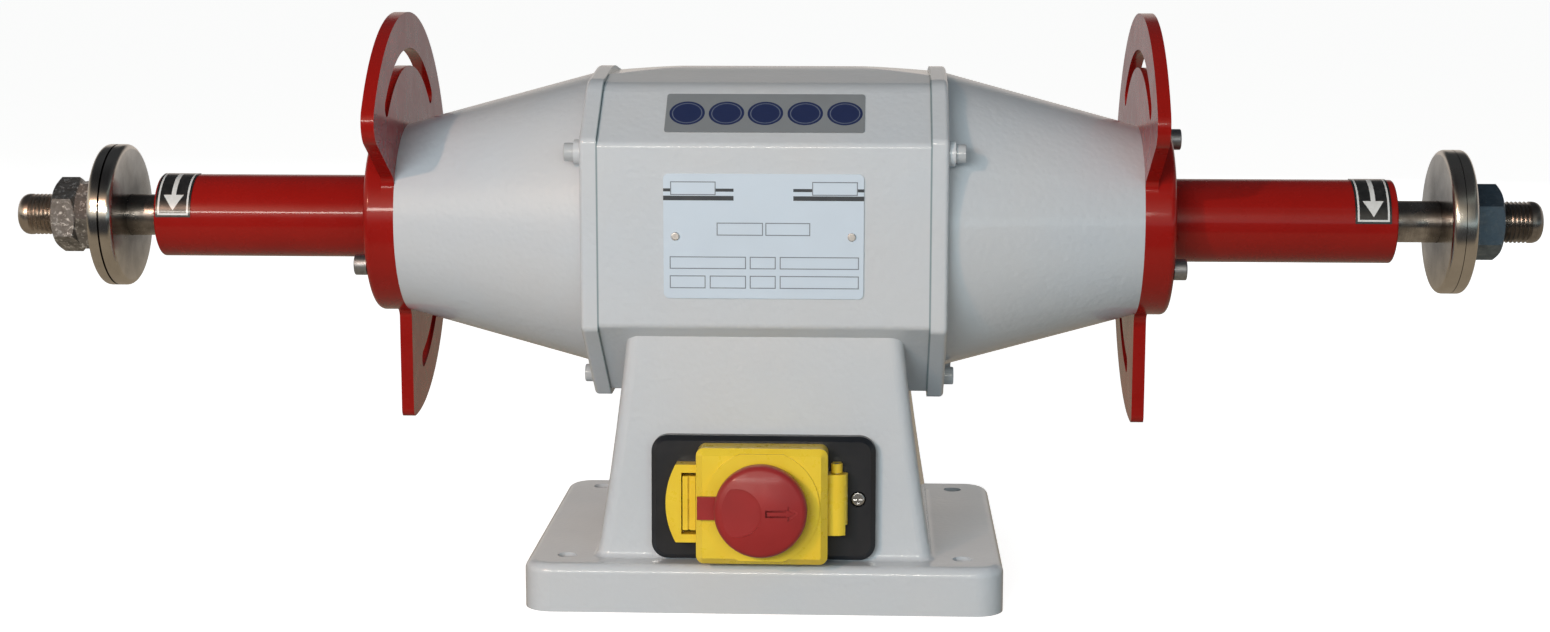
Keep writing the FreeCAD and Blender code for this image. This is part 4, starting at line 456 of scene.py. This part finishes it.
def turned_disc(node, body, joint_side, joint_gap, finish):
    """A disc in the place of a CAD flange: rounded at the back, stepped where the wheel sits."""
    low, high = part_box(node)
    rim = (high.z - low.z) / 2
    face, back = (high.x, low.x) if joint_side > 0 else (low.x, high.x)
    profile = [(back, flange_bore)]
    for step in range(flange_round_steps, -1, -1):
        turn = math.radians(90) * step / flange_round_steps
        profile.append((
            back + joint_side * flange_round * (1 - math.sin(turn)),
            rim - flange_round * (1 - math.cos(turn))))
    step_x = face - joint_side * joint_gap
    profile += [(step_x, rim), (step_x, rim - gap_depth)]
    profile += [(face, rim - gap_depth), (face, flange_bore)]
    shape = bmesh.new()
    ring = [shape.verts.new((x, 0, axis_height + radius)) for x, radius in profile]
    outline = [shape.edges.new((ring[index - 1], ring[index])) for index in range(len(ring))]
    bmesh.ops.spin(
        shape, geom=ring + outline, cent=(0, 0, axis_height), axis=(1, 0, 0),
        angle=math.radians(360), steps=turn_steps, use_merge=True, use_duplicate=False)
    bmesh.ops.recalc_face_normals(shape, faces=shape.faces)
    mesh = bpy.data.meshes.new("turned_" + node)
    shape.to_mesh(mesh)
    shape.free()
    mesh.materials.append(finish)
    mesh.shade_smooth()
    mesh.set_sharp_from_angle(angle=sharp_angle)
    disc = bpy.data.objects.new("turned_" + node, mesh)
    bpy.context.scene.collection.objects.link(disc)
    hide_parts(node)
    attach(disc, body)


left_nickel = turned_finish("polished_nickel_left", 0.8, left_joint.x)
right_nickel = turned_finish("polished_nickel_right", 0.25, right_joint.x)
turned_disc("inner_flange_left", "spindle_body", -1, left_gap, left_nickel)
turned_disc("outer_flange_left", "left_clamp", 1, left_gap, left_nickel)
turned_disc("inner_flange_right", "spindle_body", 1, right_gap, right_nickel)
turned_disc("outer_flange_right", "right_clamp", -1, right_gap, right_nickel)
greasy_nut = nut_finish(
    "greasy_grey_nut", (0.30, 0.29, 0.28, 1), (0.14, 0.135, 0.13, 1),
    (0.75, 0.75, 0.74, 1), speck_share=0.9)
zinc_nut = nut_finish(
    "bluish_zinc_nut", (0.14, 0.20, 0.26, 1), (0.09, 0.13, 0.17, 1),
    (0.3, 0.34, 0.36, 1), speck_share=0.25)
paint_nodes(greasy_nut, "nut_grey", "left_nut", "left_lock_nut")
paint_nodes(zinc_nut, "nut_zinc", "right_nut")

# Data plate
# A thin printed aluminium plate held by two rivets. It carries no words: only
# two header rules on each side and the empty boxes that are filled in by hand.

plate_low, plate_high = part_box("nameplate")
plate_mid = (plate_low + plate_high) / 2
plate_white = (0.590, 0.665, 0.735, 1)
plate_shade = (0.550, 0.610, 0.665, 1)
plate_ink = (0.05, 0.055, 0.06, 1)
plate_grey = (0.20, 0.22, 0.24, 1)
box_line = 0.45 * MM
plate_haze_size = 20 * MM
plate_wear_size = 6 * MM
plate_wave_size, plate_wave_height = 22 * MM, 0.15 * MM
# Each row of boxes: height of its middle, height of a box, then left and right of each.
box_rows = [
    (-20.9, 5.9, [(-42.6, -26.3), (-24.4, -7.9), (-6.2, 5.6), (7.4, 43.3)]),
    (-12.1, 5.7, [(-42.6, -7.9), (-6.2, 5.6), (7.4, 43.3)]),
    (3.3, 5.9, [(-21.2, -0.2), (0.9, 21.2)]),
    (21.8, 6.2, [(-42.2, -21.6), (22.0, 42.6)]),
]
# Each rule: left, right, bottom, top. The upper ones are broken off by the top boxes.
rules = [
    (-46, -13.5, 16.3, 18.4), (13.5, 46, 16.3, 18.4),
    (-46, -42.2, 20.3, 21.7), (-21.6, -13.5, 20.3, 21.7),
    (13.5, 22, 20.3, 21.7), (42.6, 46, 20.3, 21.7),
]


def rectangle(tree, u, v, left, right, low, high):
    return combine(tree, "MULTIPLY", band(tree, u, left, right), band(tree, v, low, high))


def frame_lines(tree, u, v, left, right, low, high, line):
    """Outline of a box, line metres wide."""
    outer = rectangle(tree, u, v, left, right, low, high)
    inner = rectangle(tree, u, v, left + line, right - line, low + line, high - line)
    return combine(tree, "SUBTRACT", outer, inner)


def union(tree, masks):
    joined = masks[0]
    for mask in masks[1:]:
        joined = combine(tree, "MAXIMUM", joined, mask)
    return joined


def data_plate_finish():
    material, tree, shader = new_finish("printed_data_plate", Coat_Weight=0.4, Coat_Roughness=0.2)
    coords = object_coords(tree)
    centred = centred_coords(tree, coords, plate_mid)
    u, v = centred["X"], centred["Z"]
    boxes = [
        frame_lines(
            tree, u, v, left * MM, right * MM, (middle - height / 2) * MM,
            (middle + height / 2) * MM, box_line)
        for middle, height, spans in box_rows for left, right in spans]
    bars = [rectangle(tree, u, v, *(side * MM for side in rule)) for rule in rules]
    haze = spread(tree, grain(tree, coords, plate_haze_size, 4), 0.3, 0.7, 0, 0.35)
    colour = blend_colours(tree, haze, plate_white, plate_shade)
    colour = blend_colours(tree, union(tree, boxes), colour, plate_grey)
    colour = blend_colours(tree, union(tree, bars), colour, plate_ink)
    tree.links.new(colour, shader.inputs["Base Color"])
    wear = grain(tree, coords, plate_wear_size, 4)
    tree.links.new(spread(tree, wear, 0.3, 0.7, 0.28, 0.4), shader.inputs["Roughness"])
    raise_surface(tree, shader, [(grain(tree, coords, plate_wave_size, 2), plate_wave_height)])
    return material


pale_rivet = metal_finish(
    "aluminium_rivet", (0.86, 0.87, 0.88, 1), (0.74, 0.75, 0.76, 1),
    cloud=3 * MM, scratch=0.3 * MM, smooth=0.35, rough=0.5)
paint_nodes(data_plate_finish(), "nameplate", "nameplate")
paint_nodes(pale_rivet, "zinc_screws", "nameplate_rivets")

# Label strip on the upper slope
# A grey self-adhesive film with five dark blue discs, each with a thin pale ring
# and nothing else in it.

strip_low, strip_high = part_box("symbol_strip")
strip_mid = (strip_low + strip_high) / 2
strip_slope = math.radians(37)
film_grey = (0.225, 0.238, 0.245, 1)
film_shade = (0.20, 0.208, 0.212, 1)
film_haze_size = 12 * MM
film_wear_size = 5 * MM
film_height = 0.02 * MM
disc_blue = (0.016, 0.026, 0.085, 1)
disc_ring = (0.12, 0.14, 0.20, 1)
disc_places = (-35.7, -17.7, 0.1, 18.3, 36.4)
disc_radius = 8.1 * MM
ring_inner, ring_outer = disc_radius * 0.80, disc_radius * 0.86


def strip_finish():
    material, tree, shader = new_finish("grey_label_film", Coat_Weight=0.3, Coat_Roughness=0.25)
    coords = object_coords(tree)
    centred = centred_coords(tree, coords, strip_mid)
    up_slope = combine(tree, "DIVIDE", centred["Z"], math.sin(strip_slope))
    from_middles = [
        distance(tree, combine(tree, "SUBTRACT", centred["X"], place * MM), up_slope)
        for place in disc_places]
    discs = [combine(tree, "LESS_THAN", reach, disc_radius) for reach in from_middles]
    rings = [band(tree, reach, ring_inner, ring_outer) for reach in from_middles]
    haze = spread(tree, grain(tree, coords, film_haze_size, 4), 0.3, 0.7, 0, 0.5)
    colour = blend_colours(tree, haze, film_grey, film_shade)
    colour = blend_colours(tree, union(tree, discs), colour, disc_blue)
    colour = blend_colours(tree, union(tree, rings), colour, disc_ring)
    tree.links.new(colour, shader.inputs["Base Color"])
    wear = grain(tree, coords, film_wear_size, 3)
    tree.links.new(spread(tree, wear, 0.3, 0.7, 0.38, 0.5), shader.inputs["Roughness"])
    raise_surface(tree, shader, [(grain(tree, coords, peel_size, 2), film_height)])
    return material


paint_nodes(strip_finish(), "strip", "symbol_strip")

# Direction labels on the tubes
# Black film bent around the tube with a pale border and a pale arrow that points
# down, the way the front of the wheel runs.

tube_radius = 20.4 * MM
label_foot = tube_radius * math.radians(3)
label_top = tube_radius * math.radians(95)
label_edge = 1.0 * MM
label_line = 0.9 * MM
arrow_half = 1.1 * MM
arrow_top = label_top - 4 * MM
arrow_neck = label_foot + 9 * MM
arrow_tip = label_foot + 3.2 * MM
arrow_head = 8.0 * MM
arrow_spread = 0.62
label_ink = (0.014, 0.014, 0.014, 1)
label_ink_worn = (0.05, 0.048, 0.045, 1)
label_pale = (0.70, 0.69, 0.66, 1)
label_pale_worn = (0.50, 0.48, 0.44, 1)
label_dirt_size = 3 * MM
label_wear_size = 4 * MM
label_wave_size, label_wave_height = 1.5 * MM, 0.01 * MM


def arrow_finish(name, node):
    """Label print on the unrolled tube: u runs along it, v up its front from the lower edge."""
    low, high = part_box(node)
    half = (high.x - low.x) / 2
    material, tree, shader = new_finish(name, Coat_Weight=0.8, Coat_Roughness=0.12)
    coords = object_coords(tree)
    centred = centred_coords(tree, coords, ((low.x + high.x) / 2, 0, axis_height))
    u = centred["X"]
    front = combine(tree, "MULTIPLY", centred["Y"], -1)
    v = combine(tree, "MULTIPLY", combine(tree, "ARCTAN2", centred["Z"], front), tube_radius)
    border = frame_lines(
        tree, u, v, -half + label_edge, half - label_edge,
        label_foot + label_edge, label_top - label_edge, label_line)
    shaft = rectangle(tree, u, v, -arrow_half, arrow_half, arrow_neck, arrow_top)
    wide = combine(tree, "MULTIPLY", combine(tree, "SUBTRACT", v, arrow_tip), arrow_spread)
    head = combine(
        tree, "MULTIPLY", combine(tree, "LESS_THAN", combine(tree, "ABSOLUTE", u), wide),
        combine(tree, "LESS_THAN", v, arrow_tip + arrow_head))
    print_mask = union(tree, [border, shaft, head])
    dirt = spread(tree, grain(tree, coords, label_dirt_size, 4, 0.65), 0.45, 0.8, 0, 0.5)
    ink = blend_colours(tree, dirt, label_ink, label_ink_worn)
    pale = blend_colours(tree, dirt, label_pale, label_pale_worn)
    tree.links.new(blend_colours(tree, print_mask, ink, pale), shader.inputs["Base Color"])
    wear = grain(tree, coords, label_wear_size, 4)
    tree.links.new(spread(tree, wear, 0.3, 0.7, 0.25, 0.4), shader.inputs["Roughness"])
    raise_surface(tree, shader, [(grain(tree, coords, label_wave_size, 2), label_wave_height)])
    return material


for side in ("left", "right"):
    label = "arrow_label_" + side
    paint_nodes(arrow_finish("arrow_film_" + side, label), "arrow_film", label)

# Switch: faceplate, screws and contact block
# A satin black moulding sunk into the column's front, held by two cross head
# screws, with the contact block and its blades behind it.

switch_centre_z = 52.2 * MM
front_lean = 0.0415
ear_plane = -81.3 * MM
ear_left, ear_right = 30.5 * MM, 39.5 * MM
ear_yellow = (0.70, 0.47, 0.03, 1)
faceplate_black = plastic_finish(
    "satin_black_moulding", (0.006, 0.008, 0.012, 1), (0.010, 0.012, 0.016, 1),
    smooth=0.34, rough=0.48, texture=0.5 * MM, depth=0.02 * MM, coat=0.1)
blade_brass = metal_finish(
    "blade_brass", (0.70, 0.50, 0.18, 1), (0.55, 0.38, 0.14, 1),
    cloud=5 * MM, scratch=0.3 * MM, smooth=0.25, rough=0.4)


def colour_ears(material):
    """Yellow for the two hinge ears, which stand proud of the leaning faceplate."""
    tree = material.node_tree
    target = tree.nodes["Principled BSDF"].inputs["Base Color"]
    black = target.links[0].from_socket
    parts = add_node(tree, "SeparateXYZ", {"Vector": object_coords(tree)}).outputs
    above = combine(tree, "SUBTRACT", parts["Z"], switch_centre_z)
    depth = combine(tree, "SUBTRACT", parts["Y"], combine(tree, "MULTIPLY", above, front_lean))
    ears = combine(
        tree, "MULTIPLY", band(tree, parts["X"], ear_left, ear_right),
        combine(tree, "LESS_THAN", depth, ear_plane))
    tree.links.new(blend_colours(tree, ears, black, ear_yellow), target)


colour_ears(faceplate_black)
paint_nodes(faceplate_black, "switch_black", "switch_faceplate")
paint_nodes(zinc_screw, "zinc_screws", "faceplate_screws", "hinge_pin")
paint_nodes(black_plastic, "black_plastic", "switch_body")
paint_nodes(blade_brass, "tab_brass", "switch_tabs")

# Switch: lid, lug and push buttons
# The lid and the ribbed lug are glossy yellow mouldings. Under the lid are a
# green and a red push button on coil springs.

lid_yellow = plastic_finish(
    "glossy_yellow_moulding", (0.850, 0.600, 0.040, 1), (0.800, 0.540, 0.030, 1),
    smooth=0.24, rough=0.36, texture=1.2 * MM, depth=0.01 * MM, coat=0.5)
start_green = plastic_finish(
    "green_moulding", (0.020, 0.300, 0.070, 1), (0.016, 0.250, 0.060, 1),
    smooth=0.25, rough=0.38, texture=0.8 * MM, depth=0.01 * MM, coat=0.4)
stop_red = plastic_finish(
    "red_moulding", (0.480, 0.020, 0.016, 1), (0.420, 0.016, 0.014, 1),
    smooth=0.25, rough=0.38, texture=0.8 * MM, depth=0.01 * MM, coat=0.4)
paint_nodes(lid_yellow, "switch_yellow", "switch_lid", "lock_lug")
paint_nodes(start_green, "start_green", "start_button")
paint_nodes(stop_red, "stop_red", "stop_button")
paint_nodes(spring_steel, "spring_steel", "start_spring", "stop_spring", "mushroom_spring")

# Switch: mushroom button and release slide
# Both are moulded in a satin red, a little dusty, with a thumb hollow on the
# left of the mushroom and a sunk arrow on its right.

mushroom_red = plastic_finish(
    "satin_red_moulding", (0.330, 0.018, 0.018, 1), (0.280, 0.016, 0.016, 1),
    smooth=0.40, rough=0.52, texture=0.5 * MM, depth=0.015 * MM, coat=0.1)
paint_nodes(mushroom_red, "mushroom_red", "mushroom_button", "release_slide")

# Floor
# A wide pale floor. Mirrors see a brown table on it instead, which ends in a dark
# edge in front of the machine.

floor_size = 40
floor_shape = bmesh.new()
bmesh.ops.create_grid(floor_shape, x_segments=1, y_segments=1, size=floor_size)
floor_mesh = bpy.data.meshes.new("floor")
floor_shape.to_mesh(floor_mesh)
floor_shape.free()
floor = bpy.data.objects.new("floor", floor_mesh)
bpy.context.scene.collection.objects.link(floor)

floor_plain = (0.37, 0.37, 0.36, 1)
floor_pale = (0.80, 0.80, 0.80, 1)
floor_glow = (1, 0.965, 0.94, 1)
floor_glow_strength = 0.80
mirror_white = (0.42, 0.41, 0.40, 1)
mirror_table = (0.33, 0.275, 0.205, 1)
mirror_dark = (0.045, 0.047, 0.050, 1)
table_back_from, table_back_to = 0.8, 1.5
table_edge_from, table_edge_to = -0.30, -0.42


def ray_kinds(tree):
    """1 for rays straight from the camera, and 1 for mirrored or refracted ones."""
    rays = add_node(tree, "LightPath").outputs
    mirrored = combine(tree, "MAXIMUM", rays["Is Glossy Ray"], rays["Is Transmission Ray"])
    return rays["Is Camera Ray"], mirrored


def floor_finish():
    """White to the camera but for the shadow, a table to mirrors, mid grey to scattered light."""
    material = bpy.data.materials.new("pale_floor")
    material.use_nodes = True
    tree = material.node_tree
    tree.nodes.clear()
    camera_rays, mirrored = ray_kinds(tree)
    back = add_node(tree, "SeparateXYZ", {"Vector": object_coords(tree)}).outputs["Y"]
    table = blend_colours(
        tree, spread(tree, back, table_back_from, table_back_to), mirror_table, mirror_white)
    table = blend_colours(
        tree, spread(tree, back, table_edge_from, table_edge_to), table, mirror_dark)
    plain = add_node(tree, "BsdfDiffuse", {"Color": floor_plain}).outputs[0]
    pale = add_node(tree, "BsdfDiffuse", {"Color": floor_pale}).outputs[0]
    glow = add_node(tree, "Emission", {
        "Color": floor_glow, "Strength": floor_glow_strength}).outputs[0]
    lit = add_node(tree, "AddShader", {0: pale, 1: glow}).outputs[0]
    seen = add_node(tree, "MixShader", {0: camera_rays, 1: plain, 2: lit}).outputs[0]
    shown = add_node(tree, "Emission", {"Color": table, "Strength": 1.0}).outputs[0]
    mixed = add_node(tree, "MixShader", {0: mirrored, 1: seen, 2: shown}).outputs[0]
    add_node(tree, "OutputMaterial", {"Surface": mixed})
    return material


floor_mesh.materials.append(floor_finish())

# Room and lights
# Soft boxes in front and behind give a cool even light. A small warm lamp on the left
# throws the turquoise shadows, and the metal mirrors the windows and walls of the room.

sky_low = (0.03, 0.03, 0.03, 1)
sky_high = (0.205, 0.246, 0.268, 1)
machine_middle = (0, 0, 0.15)
# Each stop: degrees above the horizon, colour.
left_window = [
    (-4, mirror_dark), (3, (0.25, 0.26, 0.26, 1)), (8, (0.90, 0.84, 0.70, 1)),
    (19, (0.90, 0.82, 0.64, 1)), (30, (0.40, 0.34, 0.26, 1)), (40, mirror_dark),
    (55, (0.020, 0.020, 0.022, 1))]
right_windows = [
    (-8, (0.02, 0.04, 0.05, 1)), (-3, (0.70, 0.90, 0.95, 1)), (4, (0.60, 0.76, 0.80, 1)),
    (9, (0.10, 0.11, 0.11, 1)), (34, (0.10, 0.10, 0.10, 1)), (39, (0.40, 0.46, 0.43, 1)),
    (44, mirror_dark)]
wall_behind = [(0, (0.66, 0.60, 0.55, 1)), (16, (0.66, 0.60, 0.55, 1)), (30, mirror_dark)]


def by_elevation(tree, height, stops):
    """Colours that run up the sky. A colour ramp starts with two stops, the rest are added."""
    ramp = add_node(tree, "ValToRGB", {"Fac": spread(tree, height, -1, 1)})
    steps = ramp.color_ramp.elements
    for index, (degrees, colour) in enumerate(stops):
        place = (math.sin(math.radians(degrees)) + 1) / 2
        step = steps[index] if index < 2 else steps.new(place)
        step.position = place
        step.color = colour
    return ramp.outputs["Color"]


def studio_world():
    """White to the camera, a dim room with windows to mirrors, an even sky to the rest."""
    world = bpy.data.worlds.new("studio")
    bpy.context.scene.world = world
    world.use_nodes = True
    tree = world.node_tree
    tree.nodes.clear()
    way = add_node(tree, "SeparateXYZ", {
        "Vector": add_node(tree, "TexCoord").outputs["Generated"]}).outputs
    front = blend_colours(
        tree, spread(tree, way["X"], 0.0, 0.35), by_elevation(tree, way["Z"], left_window),
        by_elevation(tree, way["Z"], right_windows))
    behind = by_elevation(tree, way["Z"], wall_behind)
    room = blend_colours(tree, spread(tree, way["Y"], -0.25, 0.20), front, behind)
    sky = blend_colours(tree, spread(tree, way["Z"], -0.2, 0.3), sky_low, sky_high)
    camera_rays, mirrored = ray_kinds(tree)
    colour = blend_colours(tree, mirrored, sky, room)
    colour = blend_colours(tree, camera_rays, colour, (1, 1, 1, 1))
    background = add_node(tree, "Background", {"Color": colour, "Strength": 1.0}).outputs[0]
    add_node(tree, "OutputWorld", {"Surface": background})


def area_light(name, place, aim, width, height, power, colour, mirrored=False):
    data = bpy.data.lights.new(name, "AREA")
    data.shape = "RECTANGLE"
    data.size = width
    data.size_y = height
    data.energy = power
    data.color = colour
    lamp = bpy.data.objects.new(name, data)
    bpy.context.scene.collection.objects.link(lamp)
    lamp.location = place
    lamp.rotation_euler = (Vector(aim) - Vector(place)).to_track_quat("-Z", "Y").to_euler()
    lamp.visible_glossy = mirrored


studio_world()
area_light(
    "key_box", place=(-0.60, -2.0, 0.55), aim=machine_middle, width=0.8, height=0.6,
    power=17.5, colour=(0.665, 0.827, 0.930))
area_light(
    "fill_box", place=(0.90, -2.0, 0.60), aim=machine_middle, width=0.9, height=0.7,
    power=4.3, colour=(0.650, 0.827, 0.930))
area_light(
    "back_box", place=(0.30, 1.9, 0.75), aim=machine_middle, width=1.0, height=0.6,
    power=7, colour=(0.75, 0.86, 0.95))
area_light(
    "warm_lamp", place=(-1.05, -1.75, 0.97), aim=machine_middle, width=0.06, height=0.06,
    power=11.2, colour=(1.0, 0.59, 0.41), mirrored=True)
area_light(
    "strip_lamp", place=(-0.28, -1.45, 0.535), aim=(-0.2, 0, axis_height), width=1.25,
    height=0.08, power=6.3, colour=(1.0, 0.95, 0.86), mirrored=True)

# Camera
# The viewpoint of the photograph, fitted to the circles of the flanges and plates and
# to the parallel edges of the housing.

photo_width_px = 1550
focal_length_px = 2342.9
sensor_width = 36
camera_place = (49.8 * MM, -1131 * MM, 300.3 * MM)
looks_down, rolls, looks_left = 8.81, -0.05, 2.43

camera_data = bpy.data.cameras.new("photo_view")
camera_data.sensor_width = sensor_width
camera_data.lens = sensor_width * focal_length_px / photo_width_px
camera = bpy.data.objects.new("photo_view", camera_data)
bpy.context.scene.collection.objects.link(camera)
camera.location = camera_place
camera.rotation_euler = (
    math.radians(90 - looks_down), math.radians(rolls), math.radians(looks_left))
bpy.context.scene.camera = camera

bpy.context.scene.view_settings.view_transform = "Standard"
